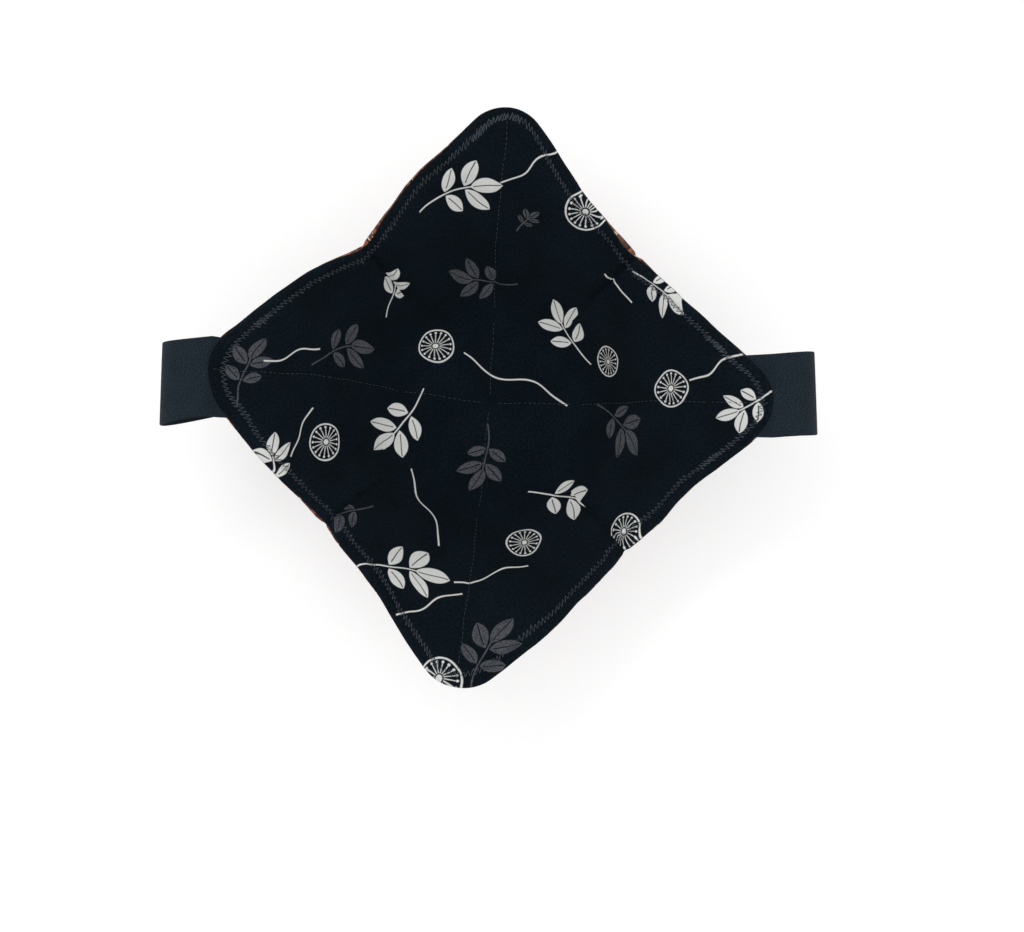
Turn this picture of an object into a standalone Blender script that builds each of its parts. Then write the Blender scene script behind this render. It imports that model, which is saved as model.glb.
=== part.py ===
"""Microwave bowl cozy, modelled as it is sewn, in metres with +Z up.

Two cotton squares, each with its own cotton batting behind it, have a dart at
the middle of every side, which turns each square into a shallow bowl with four
raised corners. The two bowls are nested, seamed round the edge and topstitched.
An elastic hand strap is caught in the seam at the right and the left corner,
and its other end is sewn to the outside of the wall below.

The origin is the middle of the base, on the table. +X points to the right
strap corner and +Y to the far corner.

Run: blender --background --python part.py
"""

import math

import bmesh
import bpy
import numpy as np

# Flat pattern, finished size: a square with a dart at the middle of each side.
HALF_SIDE = 0.119
STRAP_CORNER_RADIUS = 0.028
PLAIN_CORNER_RADIUS = 0.022
DART_WIDTH = 0.028
DART_DEPTH = 0.058

# Meridian of the bowl, as distances along the cloth from its middle.
FLOOR_RADIUS = 0.034
FLOOR_BEND = 0.034
LIP_BEND = 0.090

# Slope of the cloth in degrees: the right, far, left and near corners.
CORNER_WALL = (53.5, 49.5, 53.0, 49.0)
CORNER_LIP = (34.5, 33.5, 37.5, 32.5)

# Degrees that each corner is turned as a whole, and that its tip leans further.
CORNER_TURN = (4.5, 2.0, -4.0, -1.0)
TIP_LEAN = (-1.0, -1.5, 3.0, -0.5)
LEAN_START = 0.080
LEAN_LENGTH = 0.075

# Slope of the cloth in degrees along the four darts.
DART_WALL = 52.0
DART_LIP = 48.0

# Strays of the sewn edge from the true square: azimuth, reach, spread in degrees.
EDGE_STRAYS = (
    (0.0, 0.0042, 9.0),
    (68.0, -0.0025, 12.0),
    (112.0, 0.0015, 12.0),
    (135.0, -0.0045, 9.0),
    (158.0, 0.0015, 12.0),
    (176.0, 0.0018, 8.0),
    (202.0, 0.0030, 12.0),
    (248.0, -0.0045, 12.0),
    (292.0, 0.0025, 12.0),
    (338.0, -0.0035, 12.0),
)

# Layers, as they lie nested.
COTTON = 0.0005
BATTING = 0.0019
LAYER_GAP = 0.0003

# Sewn lines that pull the layers together.
EDGE_ROLL = 0.003
HEM_INSET = 0.012
TOPSTITCH_INSET = 0.005
TOPSTITCH_DIP = 0.0005
QUILTING_DIP = 0.0005
DART_DIP = 0.0011

# Elastic hand straps.
STRAP_WIDTH = 0.038
STRAP_THICKNESS = 0.0013
STRAP_TUCK = 0.020
STRAP_OFFSET = {"right": 0.0031, "left": 0.0036}
STRAP_FOOT_OFFSET = {"right": 0.0023, "left": -0.0110}
STRAP_REACH = {"right": 0.0205, "left": 0.0228}
STRAP_DROP = 0.014
STRAP_FOOT = 0.062
STRAP_FOOT_LENGTH = 0.016

# Shares of a strap's width and of the cloth's rise that its seam end keeps.
SEAM_WIDTH_SHARE = 0.99
SEAM_RISE_SHARE = 0.4

# Degrees that each strap swings from its corner's outward line, and its fold turns.
STRAP_SWING = {"right": 4.1, "left": 12.0}
FOLD_TURN = {"right": 2.1, "left": 2.4}

# Fineness of the faceted surfaces.
ANGLES_FROM_CORNER = (0.0, 2.5, 5.0, 7.5, 13.0, 22.0, 32.5, 42.5, 45.0)
WALL_ROWS = (0.15, 0.4, 0.7, 1.0)
ROLL_ANGLES = (0.0, 30.0, 60.0, 90.0)
MERIDIAN_STEPS = 48
STRAP_COLUMNS = 6
STRAP_TUCK_ROWS = 3
STRAP_FOOT_ROWS = 4
STRAP_OUT_ROWS = 7
STRAP_BACK_ROWS = 11

HALF_THICKNESS = LAYER_GAP / 2 + BATTING + LAYER_GAP + COTTON
QUARTER_TURN = math.pi / 2
EIGHTH_TURN = math.pi / 4
CORNERS = ("right", "far", "left", "near")
CORNER_RADII = np.array([STRAP_CORNER_RADIUS, PLAIN_CORNER_RADIUS] * 2)


def clear_scene():
    """Remove every object of the open scene."""
    for old in list(bpy.data.objects):
        bpy.data.objects.remove(old, do_unlink=True)


def make_material(name, colour, roughness):
    """Return a Principled material of one colour."""
    material = bpy.data.materials.new(name)
    material.use_nodes = True
    shader = material.node_tree.nodes["Principled BSDF"]
    shader.inputs["Base Color"].default_value = (*colour, 1.0)
    shader.inputs["Roughness"].default_value = roughness
    shader.inputs["Metallic"].default_value = 0.0
    return material


def ease(x):
    """Return 0 below 0, 1 above 1 and a smooth S between."""
    x = np.clip(x, 0.0, 1.0)
    return x * x * (3.0 - 2.0 * x)


def round_the_corners(values, azimuth):
    """Blend four corner values smoothly over the azimuth."""
    right, far, left, near = values
    mean = (right + far + left + near) / 4
    sideways = (right - left) / 2 * np.cos(azimuth)
    lengthways = (far - near) / 2 * np.sin(azimuth)
    pairs = (right - far + left - near) / 4 * np.cos(2 * azimuth)
    return mean + sideways + lengthways + pairs


def cloth_slope(distance, azimuth):
    """Return the slope of the cloth at a distance along it from the middle."""
    corner_share = np.cos(2 * azimuth) ** 2
    wall = round_the_corners(CORNER_WALL, azimuth) * corner_share
    wall = np.radians(wall + DART_WALL * (1 - corner_share))
    lip = round_the_corners(CORNER_LIP, azimuth) * corner_share
    lip = np.radians(lip + DART_LIP * (1 - corner_share))
    rise = ease((distance - FLOOR_RADIUS) / FLOOR_BEND)
    flare = ease((distance - FLOOR_RADIUS - FLOOR_BEND) / LIP_BEND)
    return wall * rise + (lip - wall) * flare


def middle_point(distance, azimuth):
    """Return points of the surface midway through the layers.

    The meridian is the integral of the slope, and the azimuth of each corner
    is turned a little, most at its tip, as the cloth drapes.
    """
    radius = np.zeros_like(distance)
    height = np.zeros_like(distance)
    for step in range(MERIDIAN_STEPS):
        along = distance * (step + 0.5) / MERIDIAN_STEPS
        slope = cloth_slope(along, azimuth)
        radius = radius + np.cos(slope) * distance / MERIDIAN_STEPS
        height = height + np.sin(slope) * distance / MERIDIAN_STEPS
    lean = round_the_corners(TIP_LEAN, azimuth) * ease((distance - LEAN_START) / LEAN_LENGTH)
    turned = azimuth + np.radians(round_the_corners(CORNER_TURN, azimuth) + lean)
    across = (radius * np.cos(turned), radius * np.sin(turned))
    return np.stack([*across, height + HALF_THICKNESS], axis=-1)


def cloth_point(distance, azimuth, offset):
    """Return points at an offset above the middle surface, along its normal."""
    step = 1e-5
    turn = 1e-4
    outward = middle_point(distance + step, azimuth) - middle_point(distance - step, azimuth)
    around = middle_point(distance, azimuth + turn) - middle_point(distance, azimuth - turn)
    normal = np.cross(outward, around)
    normal /= np.linalg.norm(normal, axis=-1, keepdims=True)
    return middle_point(distance, azimuth) + normal * np.asarray(offset)[..., None]


def nearest_corner(azimuth):
    """Return each azimuth's corner number and its angle from that corner."""
    turns = np.round(azimuth / QUARTER_TURN)
    return turns.astype(int) % 4, azimuth - turns * QUARTER_TURN


def quarter_width(distance):
    """Return half the angle that a quarter of the flat cloth spans.

    It is an eighth of a turn up to the darts' points and narrows past them,
    where each dart takes its wedge away.
    """
    dart_point = HALF_SIDE - DART_DEPTH
    half_dart = np.maximum(distance - dart_point, 0.0) * DART_WIDTH / 2 / DART_DEPTH
    return EIGHTH_TURN - np.arctan2(half_dart, distance)


def edge_stray(azimuth):
    """Return how far the sewn edge lies beyond the true square with round corners."""
    stray = np.zeros_like(azimuth)
    for centre, reach, spread in EDGE_STRAYS:
        away = np.degrees(np.angle(np.exp(1j * (azimuth - math.radians(centre)))))
        stray = stray + reach * np.exp(-((away / spread) ** 2))
    return stray


def edge_distance(azimuth, inset):
    """Return the distance along the cloth to a line inset from its edge."""
    corner, angle = nearest_corner(azimuth)
    edge_share = quarter_width(np.full_like(azimuth, HALF_SIDE)) / EIGHTH_TURN
    pattern_angle = np.abs(angle) * edge_share
    half = HALF_SIDE - inset
    radius = CORNER_RADII[corner] - inset
    straight = half / np.cos(EIGHTH_TURN - pattern_angle)
    centre = (half - radius) * math.sqrt(2)
    reach = np.maximum(radius ** 2 - (centre * np.sin(pattern_angle)) ** 2, 0.0)
    rounded = centre * np.cos(pattern_angle) + np.sqrt(reach)
    along_side = half * np.tan(EIGHTH_TURN - pattern_angle)
    return np.where(along_side > half - radius, rounded, straight) + edge_stray(azimuth)


def pattern_to_cloth(along, across, corner):
    """Turn flat coordinates on a corner's diagonal into distance and azimuth."""
    distance = np.hypot(along, across)
    angle = np.arctan2(across, along) * EIGHTH_TURN / quarter_width(distance)
    return distance, angle + corner * QUARTER_TURN


def column_azimuths():
    """Return the azimuths of the grid's columns, once round."""
    half = np.radians(ANGLES_FROM_CORNER)
    one_corner = np.concatenate([-half[::-1], half[1:-1]])
    return np.concatenate([one_corner + k * QUARTER_TURN for k in range(4)])


def strap_share(distance, azimuth, inset):
    """Return 1 where a strap's end lies between the layers and 0 away from it."""
    corner, angle = nearest_corner(azimuth)
    across = np.abs(distance * np.sin(angle * quarter_width(distance) / EIGHTH_TURN))
    sideways = 1 - ease((across - STRAP_WIDTH / 2 - 0.003) / 0.012)
    inwards = 1 - ease((inset - STRAP_TUCK - 0.002) / 0.010)
    return np.where(corner % 2 == 0, sideways * inwards, 0.0)


def seam_offset(distance, azimuth, inset):
    """Return half the gap between the two nested bowls."""
    clear = LAYER_GAP / 2
    over_strap = STRAP_THICKNESS / 2 + LAYER_GAP
    return clear + (over_strap - clear) * strap_share(distance, azimuth, inset)


def half_thickness(distance, azimuth, inset):
    """Return how far the cloth's face lies from the middle surface.

    It is the full half thickness, less the dips along the quilting on the
    diagonals, the darts and the topstitching. The floor stays flat.
    """
    past_floor = ease((distance - FLOOR_RADIUS) / FLOOR_BEND)
    angle = np.abs(nearest_corner(azimuth)[1])
    off_diagonal = distance * angle
    quilting = QUILTING_DIP * past_floor * (off_diagonal < 1e-4)
    dart_point = HALF_SIDE - DART_DEPTH
    past_point = ease((distance - dart_point) / (DART_DEPTH / 2))
    dart = DART_DIP * past_point * (angle > EIGHTH_TURN - 1e-3)
    stitched = TOPSTITCH_DIP * (np.abs(inset - TOPSTITCH_INSET) < 1e-4)
    return HALF_THICKNESS - np.maximum(np.maximum(quilting, dart), stitched)


def flat_rows(azimuth):
    """Return (distance, inset) of each grid row from the floor to the roll."""
    edge = edge_distance(azimuth, 0.0)
    tucked = edge_distance(azimuth, STRAP_TUCK + 0.001)
    bend_end = np.full_like(azimuth, FLOOR_RADIUS + FLOOR_BEND)
    distances = [bend_end - FLOOR_BEND * share for share in (1.0, 2 / 3, 1 / 3, 0.0)]
    distances += [bend_end + (tucked - bend_end) * share for share in WALL_ROWS]
    rows = [(distance, edge - distance) for distance in distances]
    for inset in (HEM_INSET, TOPSTITCH_INSET, EDGE_ROLL):
        rows.append((edge_distance(azimuth, inset), np.full_like(azimuth, inset)))
    return rows


def shell_rows(azimuth, outer_share, inner_share, rolled):
    """Return the grid rows of both faces of one layer.

    outer_share and inner_share give the depth of each face below the cloth's
    face as plain distances. A rolled layer turns down round the edge in a
    quarter ellipse and ends at the seam.
    """
    outer = []
    inner = []
    for distance, inset in flat_rows(azimuth):
        face = half_thickness(distance, azimuth, inset)
        seam = seam_offset(distance, azimuth, inset)
        outer.append((distance, face - outer_share))
        lower = face - inner_share if rolled else seam
        inner.append((distance, lower))
    if not rolled:
        return outer, inner
    distance = edge_distance(azimuth, 0.0)
    seam = seam_offset(distance, azimuth, np.zeros_like(azimuth))
    face = half_thickness(distance, azimuth, np.full_like(azimuth, EDGE_ROLL))
    for angle in np.radians(ROLL_ANGLES[1:]):
        outer_inset = EDGE_ROLL * (1 - math.sin(angle))
        outer_face = seam + (face - seam) * math.cos(angle)
        outer.append((edge_distance(azimuth, outer_inset), outer_face))
        inner_inset = EDGE_ROLL - (EDGE_ROLL - COTTON) * math.sin(angle)
        inner_face = seam + (face - COTTON - seam) * math.cos(angle)
        inner.append((edge_distance(azimuth, inner_inset), inner_face))
    return outer, inner


def add_object(name, points, faces, material):
    """Make one named object from points and faces, facing outwards."""
    mesh = bpy.data.meshes.new(name)
    solid = bmesh.new()
    verts = [solid.verts.new(point) for point in points]
    for face in faces:
        solid.faces.new([verts[index] for index in face])
    bmesh.ops.recalc_face_normals(solid, faces=solid.faces[:])
    bmesh.ops.triangulate(solid, faces=solid.faces[:])
    solid.to_mesh(mesh)
    solid.free()
    mesh.shade_smooth()
    mesh.set_sharp_from_angle(angle=math.radians(50))
    mesh.materials.append(material)
    piece = bpy.data.objects.new(name, mesh)
    bpy.context.collection.objects.link(piece)
    return piece


def add_layer(name, side, depth, thickness, rolled, material):
    """Make one layer of a bowl: side is +1 for the lining's and -1 for the outside."""
    azimuth = column_azimuths()
    columns = len(azimuth)
    outer, inner = shell_rows(azimuth, depth, depth + thickness, rolled)
    outer_points = [cloth_point(s, azimuth, side * face) for s, face in outer]
    inner_points = [cloth_point(s, azimuth, side * face) for s, face in inner]
    rings = outer_points + inner_points[::-1]
    points = np.concatenate(rings)
    faces = []
    for ring in range(len(rings) - 1):
        for column in range(columns):
            beside = (column + 1) % columns
            low, high = ring * columns, (ring + 1) * columns
            faces.append((low + column, low + beside, high + beside, high + column))
    faces.append(tuple(range(columns)))
    faces.append(tuple(range((len(rings) - 1) * columns, len(rings) * columns)))
    return add_object(name, points.tolist(), faces, material)


def bezier(start, leave, arrive, end, count):
    """Return count points after the start of a cubic curve."""
    t = (np.arange(count) + 1.0)[:, None] / count
    first = start * (1 - t) ** 3 + 3 * leave * t * (1 - t) ** 2
    return first + 3 * arrive * t * t * (1 - t) + end * t ** 3


def unit(vector):
    """Return the vector at length 1."""
    return vector / np.linalg.norm(vector)


def turned_level(vector, degrees):
    """Return the level part of a vector at length 1, turned about the vertical."""
    angle = math.atan2(vector[1], vector[0]) + math.radians(degrees)
    return np.array([math.cos(angle), math.sin(angle), 0.0])


def strap_surface(side):
    """Return the grid of points along the middle of a hand strap.

    The tucked end follows the seam between the layers. The strap then leaves
    outwards, swung a little, turns down round a straight fold and comes back
    under the corner to its foot, which lies on the outside of the wall.
    """
    corner = CORNERS.index(side)
    across = np.linspace(-STRAP_WIDTH / 2, STRAP_WIDTH / 2, STRAP_COLUMNS + 1)
    tip = edge_distance(np.array([corner * QUARTER_TURN]), 0.0)[0]
    sunk = -(HALF_THICKNESS + LAYER_GAP + STRAP_THICKNESS / 2)

    def lying(along, sideways, offset):
        """A row across the strap where it lies on the cloth."""
        distance, azimuth = pattern_to_cloth(np.full_like(across, along), sideways, corner)
        return cloth_point(distance, azimuth, np.full_like(across, offset))

    tuck = np.linspace(tip - STRAP_TUCK, tip, STRAP_TUCK_ROWS)
    tucked = [lying(x, across * SEAM_WIDTH_SHARE + STRAP_OFFSET[side], 0.0) for x in tuck]
    landed = np.linspace(STRAP_FOOT + STRAP_FOOT_LENGTH, STRAP_FOOT, STRAP_FOOT_ROWS)
    foot = [lying(x, across + STRAP_FOOT_OFFSET[side], sunk) for x in landed]

    middle = STRAP_COLUMNS // 2
    tip_point, foot_point = tucked[-1][middle], foot[0][middle]
    swung = turned_level(tip_point, STRAP_SWING[side])
    rise = SEAM_RISE_SHARE * unit(tip_point - tucked[-2][middle])[2]
    leaving = unit(swung * math.sqrt(1 - rise ** 2) + np.array([0.0, 0.0, rise]))
    landing = unit(foot_point - foot[1][middle])
    down = np.array([0.0, 0.0, -STRAP_DROP])
    fold = tip_point + STRAP_REACH[side] * swung + down
    out = bezier(tip_point, tip_point + leaving * STRAP_REACH[side] * 0.6, fold - down * 0.9,
                 fold, STRAP_OUT_ROWS)
    back = bezier(fold, fold + down * 2.0, foot_point + landing * STRAP_FOOT_LENGTH,
                  foot_point, STRAP_BACK_ROWS)[:-1]
    fold_sideways = turned_level(tip_point, FOLD_TURN[side] + 90.0)

    def carried(centres, end_row, end_point, shares):
        """Rows across the strap: flat at the fold, dished like the cloth at its ends."""
        end_sideways = turned_level(end_point, 90.0)
        dished = end_row - end_point - across[:, None] * end_sideways
        rows = []
        for centre, share in zip(centres, shares):
            sideways = unit(end_sideways * share + fold_sideways * (1 - share))
            rows.append(centre + across[:, None] * sideways + share * dished)
        return rows

    out_shares = 1 - ease((np.arange(STRAP_OUT_ROWS) + 1) / STRAP_OUT_ROWS)
    back_shares = ease((np.arange(STRAP_BACK_ROWS - 1) + 1) / STRAP_BACK_ROWS)
    rows = tucked + carried(out, tucked[-1], tip_point, out_shares)
    rows += carried(back, foot[0], foot_point, back_shares) + foot
    return np.array(rows)


def add_strap(side, material):
    """Make the elastic hand strap of one side's corner."""
    middle = strap_surface(side)
    along = np.gradient(middle, axis=0)
    across = np.gradient(middle, axis=1)
    normal = np.cross(along, across)
    normal /= np.linalg.norm(normal, axis=-1, keepdims=True)
    upper = middle + normal * STRAP_THICKNESS / 2
    lower = middle - normal * STRAP_THICKNESS / 2
    rows, columns = middle.shape[:2]
    count = rows * columns
    points = np.concatenate([upper.reshape(count, 3), lower.reshape(count, 3)])
    faces = []
    for row in range(rows - 1):
        for column in range(columns - 1):
            a = row * columns + column
            face = (a, a + 1, a + columns + 1, a + columns)
            faces.append(face)
            faces.append(tuple(index + count for index in face[::-1]))
    rim = list(range(columns))
    rim += [row * columns + columns - 1 for row in range(1, rows)]
    rim += [(rows - 1) * columns + column for column in range(columns - 2, -1, -1)]
    rim += [row * columns for row in range(rows - 2, 0, -1)]
    for here, there in zip(rim, rim[1:] + rim[:1]):
        faces.append((here, there, there + count, here + count))
    return add_object(f"{side}_hand_strap", points.tolist(), faces, material)


def build():
    """Make every piece of the cozy."""
    clear_scene()
    lining = make_material("black_print_cotton", (0.010, 0.013, 0.015), 0.85)
    outside = make_material("brown_print_cotton", (0.138, 0.069, 0.044), 0.85)
    batting = make_material("cotton_batting", (0.75, 0.71, 0.62), 0.95)
    elastic = make_material("black_elastic", (0.014, 0.021, 0.028), 0.8)
    below_cotton = COTTON + LAYER_GAP
    add_layer("lining_panel", 1, 0.0, COTTON, True, lining)
    add_layer("lining_batting", 1, below_cotton, BATTING, False, batting)
    add_layer("outer_batting", -1, below_cotton, BATTING, False, batting)
    add_layer("outer_panel", -1, 0.0, COTTON, True, outside)
    add_strap("right", elastic)
    add_strap("left", elastic)


build()
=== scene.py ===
"""The looks of a microwave bowl cozy: print cotton, batting, elastic straps and thread.

The cloth is worked out as it is sewn. A flat square with four darts is bent up
into a bowl, and every layer, stitch line and thread is placed on that one
surface by its distance from the middle of the cloth and its azimuth. Shapes are
in metres and patterns on the cloth in millimetres.
"""

import logging
import math
from dataclasses import dataclass
from enum import Enum
from functools import reduce
from typing import Callable, ClassVar, Optional, Union

import bpy
import numpy as np
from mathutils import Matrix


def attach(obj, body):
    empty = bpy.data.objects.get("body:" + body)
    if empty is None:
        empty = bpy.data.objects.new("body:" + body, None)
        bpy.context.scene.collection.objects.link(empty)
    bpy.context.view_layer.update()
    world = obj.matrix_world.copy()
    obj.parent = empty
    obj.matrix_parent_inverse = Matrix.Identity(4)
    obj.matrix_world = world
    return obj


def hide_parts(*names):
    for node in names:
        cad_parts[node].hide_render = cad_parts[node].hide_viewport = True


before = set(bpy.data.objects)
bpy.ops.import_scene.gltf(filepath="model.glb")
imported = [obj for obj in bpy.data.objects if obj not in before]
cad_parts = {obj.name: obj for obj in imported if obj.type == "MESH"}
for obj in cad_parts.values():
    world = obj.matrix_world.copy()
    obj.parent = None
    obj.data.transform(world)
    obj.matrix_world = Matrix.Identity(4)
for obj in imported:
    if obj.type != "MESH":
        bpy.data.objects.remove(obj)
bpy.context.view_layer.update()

LOG = logging.getLogger("bowl_cozy")

Array = np.ndarray
Colour = tuple[float, ...]
Span = tuple[float, ...]
Link = Union[float, tuple, "Wire"]

MM = 0.001
TINY = 1e-12
FULL_TURN = 2 * math.pi
QUARTER_TURN = math.pi / 2
EIGHTH_TURN = math.pi / 4
GOLDEN_ANGLE = math.radians(137.5)
WAVE_STRETCH, WAVE_STRETCH_STEP = 0.35, 2.3
WAVE_STEP, WAVE_SEED_STEP = 1.7, 3.1


class Side(Enum):
    """The two faces of the cozy: the way each one lies from the middle surface."""

    LINING = 1
    OUTSIDE = -1

    @property
    def seed(self) -> int:
        """Return the number that shifts the unevenness of this face."""
        return 3 if self is Side.LINING else 8


class Corner(Enum):
    """The corners of the cloth, in quarter turns from +X."""

    RIGHT = 0
    FAR = 1
    LEFT = 2
    NEAR = 3


def ease(x: Array) -> Array:
    """Return 0 below 0, 1 above 1 and a smooth S between."""
    x = np.clip(x, 0.0, 1.0)
    return x * x * (3.0 - 2.0 * x)


def hump(x: Array, width: float) -> Array:
    """Return a bell of height 1 at 0 that has fallen to 0.37 at the given width."""
    return np.exp(-((x / width) ** 2))


def ripple(x: Array, y: Array, wavelength: float, seed: int, waves: int = 5) -> Array:
    """Return smooth irregular ups and downs, mostly between -1 and 1.

    It is the sum of plane waves of nearly one length, each turned by the golden
    angle from the last, divided by the root of their number.

    Args:
        x: First flat coordinate.
        y: Second flat coordinate.
        wavelength: Middle wavelength, in the same unit.
        seed: Number that shifts the waves.
        waves: How many waves are added.

    Returns:
        The height at each point.
    """
    total = np.zeros_like(x)
    for k in range(waves):
        angle = GOLDEN_ANGLE * (k + 1) + seed
        stretch = 1 + WAVE_STRETCH * math.sin(WAVE_STRETCH_STEP * k + seed)
        phase = FULL_TURN * (x * math.cos(angle) + y * math.sin(angle)) / (wavelength * stretch)
        total += np.sin(phase + WAVE_STEP * k + WAVE_SEED_STEP * seed)
    return total / math.sqrt(waves)


@dataclass(frozen=True)
class Pull:
    """A local change along the edge: where it is, how large and how wide, in degrees."""

    azimuth: float
    reach: float
    spread: float

    def at(self, azimuth: Array) -> Array:
        """Return the change at each azimuth, a bell about the pull's own."""
        away = np.angle(np.exp(1j * (azimuth - math.radians(self.azimuth))))
        return self.reach * hump(np.degrees(away), self.spread)


@dataclass(frozen=True)
class Valley:
    """A soft valley or swell that follows a sewn line, at a distance from it."""

    depth: float
    width: float
    away: float = 0.0

    def at(self, off: Array) -> Array:
        """Return the depth at each distance off the line, a bell across it."""
        return self.depth * hump(off - self.away, self.width)


@dataclass(frozen=True)
class Drape:
    """The bowl that the darted cloth takes, as a surface midway through its layers.

    Angles are in degrees, and four values in a row stand for the four corners.
    """

    half_side: float = 0.119
    corner_radii: tuple[float, ...] = (0.028, 0.022, 0.028, 0.022)
    dart_width: float = 0.028
    dart_depth: float = 0.058
    floor_radius: float = 0.034
    floor_bend: float = 0.034
    lip_bend: float = 0.090
    corner_wall: tuple[float, ...] = (53.5, 49.5, 53.0, 49.0)
    corner_lip: tuple[float, ...] = (34.5, 33.5, 37.5, 32.5)
    corner_turn: tuple[float, ...] = (4.5, 2.0, -4.0, -1.0)
    tip_lean: tuple[float, ...] = (-1.0, -1.5, 3.0, -0.5)
    lean_start: float = 0.080
    lean_length: float = 0.075
    dart_wall: float = 52.0
    dart_lip: float = 48.0
    half_thickness: float = 0.00285
    sway: float = 0.0007
    sway_waves: tuple[tuple[float, float, int], ...] = ((1.0, 0.062, 2), (0.4, 0.027, 5))
    steps: int = 48
    edge_strays: tuple[Pull, ...] = (
        Pull(0.0, 0.0042, 9.0), Pull(68.0, -0.0025, 12.0), Pull(112.0, 0.0015, 12.0),
        Pull(135.0, -0.0045, 9.0), Pull(158.0, 0.0015, 12.0), Pull(176.0, 0.0018, 8.0),
        Pull(202.0, 0.0030, 12.0), Pull(248.0, -0.0045, 12.0), Pull(292.0, 0.0025, 12.0),
        Pull(338.0, -0.0035, 12.0),
    )

    def between_corners(self, values: tuple[float, ...], azimuth: Array) -> Array:
        """Blend four corner values smoothly over the azimuth, by their first harmonics.

        Args:
            values: The values at the right, far, left and near corner.
            azimuth: Azimuth on the cloth, in radians.

        Returns:
            The value at each azimuth.
        """
        right, far, left, near = values
        mean = (right + far + left + near) / 4
        sideways = (right - left) / 2 * np.cos(azimuth)
        lengthways = (far - near) / 2 * np.sin(azimuth)
        pairs = (right - far + left - near) / 4 * np.cos(2 * azimuth)
        return mean + sideways + lengthways + pairs

    def middle(self, distance: Array, azimuth: Array) -> Array:
        """Return points of the middle surface.

        The slope climbs from flat to the wall's angle past the floor and eases
        to the lip's angle. Radius and height are the integrals of its cosine
        and sine along the cloth. Each corner is turned a little as a whole,
        and its tip leans further.

        Args:
            distance: Distance along the cloth from its middle.
            azimuth: Azimuth on the cloth, in radians.

        Returns:
            Points, with x, y and z in the last axis.
        """
        share = np.cos(2 * azimuth) ** 2
        wall = self.between_corners(self.corner_wall, azimuth) * share + self.dart_wall * (1 - share)
        lip = self.between_corners(self.corner_lip, azimuth) * share + self.dart_lip * (1 - share)
        wall, lip = np.radians(wall), np.radians(lip)
        radius = np.zeros_like(distance)
        height = np.full_like(distance, self.half_thickness)
        for step in range(self.steps):
            along = distance * (step + 0.5) / self.steps
            rise = ease((along - self.floor_radius) / self.floor_bend)
            flare = ease((along - self.floor_radius - self.floor_bend) / self.lip_bend)
            slope = wall * rise + (lip - wall) * flare
            radius = radius + np.cos(slope) * distance / self.steps
            height = height + np.sin(slope) * distance / self.steps
        lean = self.between_corners(self.tip_lean, azimuth)
        lean = lean * ease((distance - self.lean_start) / self.lean_length)
        turned = azimuth + np.radians(self.between_corners(self.corner_turn, azimuth) + lean)
        return np.stack([radius * np.cos(turned), radius * np.sin(turned), height], axis=-1)

    def frame_at(self, distance: Array, azimuth: Array) -> tuple[Array, Array]:
        """Return points of the middle surface and its normals, which point into the bowl.

        The normal is the cross product of two small steps on the surface.

        Args:
            distance: Distance along the cloth from its middle.
            azimuth: Azimuth on the cloth, in radians.

        Returns:
            The points and the normals of length 1.
        """
        step, turn = 1e-5, 1e-4
        distance = np.maximum(distance, 5 * step)
        outward = self.middle(distance + step, azimuth) - self.middle(distance - step, azimuth)
        around = self.middle(distance, azimuth + turn) - self.middle(distance, azimuth - turn)
        normal = np.cross(outward, around)
        normal /= np.linalg.norm(normal, axis=-1, keepdims=True)
        return self.middle(distance, azimuth), normal

    def quarter_width(self, distance: Array) -> Array:
        """Return half the angle of one quarter of the flat cloth, less its darts' halves.

        Args:
            distance: Distance along the cloth from its middle.

        Returns:
            The half angle in radians, an eighth turn inside the darts' points.
        """
        past = np.maximum(distance - (self.half_side - self.dart_depth), 0.0)
        half_dart = past * self.dart_width / 2 / self.dart_depth
        return EIGHTH_TURN - np.arctan2(half_dart, np.maximum(distance, MM))

    def narrowing(self, distance: Array) -> Array:
        """Return how much narrower the darts make a quarter of the cloth."""
        return self.quarter_width(distance) / EIGHTH_TURN

    def from_corner(self, azimuth: Array) -> tuple[Array, Array]:
        """Return the nearest corner's number and the angle from it, for each azimuth."""
        turns = np.round(azimuth / QUARTER_TURN)
        return turns.astype(int) % 4, azimuth - turns * QUARTER_TURN

    def edge(self, azimuth: Array, inset: Array) -> Array:
        """Return the distance along the cloth to a line inset from its edge.

        The edge is a square with a circular arc at each corner, in the flat,
        and strays a little from it as it was trimmed and sewn.

        Args:
            azimuth: Azimuth on the cloth, in radians.
            inset: Distance of the line from the edge.

        Returns:
            The distance from the middle of the cloth.
        """
        corner, angle = self.from_corner(azimuth)
        pattern_angle = np.abs(angle) * self.narrowing(np.full_like(azimuth, self.half_side))
        half = self.half_side - inset
        radius = np.array(self.corner_radii)[corner] - inset
        straight = half / np.cos(EIGHTH_TURN - pattern_angle)
        centre = (half - radius) * math.sqrt(2)
        reach = np.maximum(radius ** 2 - (centre * np.sin(pattern_angle)) ** 2, 0.0)
        rounded = centre * np.cos(pattern_angle) + np.sqrt(reach)
        along_side = half * np.tan(EIGHTH_TURN - pattern_angle)
        stray = sum(pull.at(azimuth) for pull in self.edge_strays)
        return np.where(along_side > half - radius, rounded, straight) + stray

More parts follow.
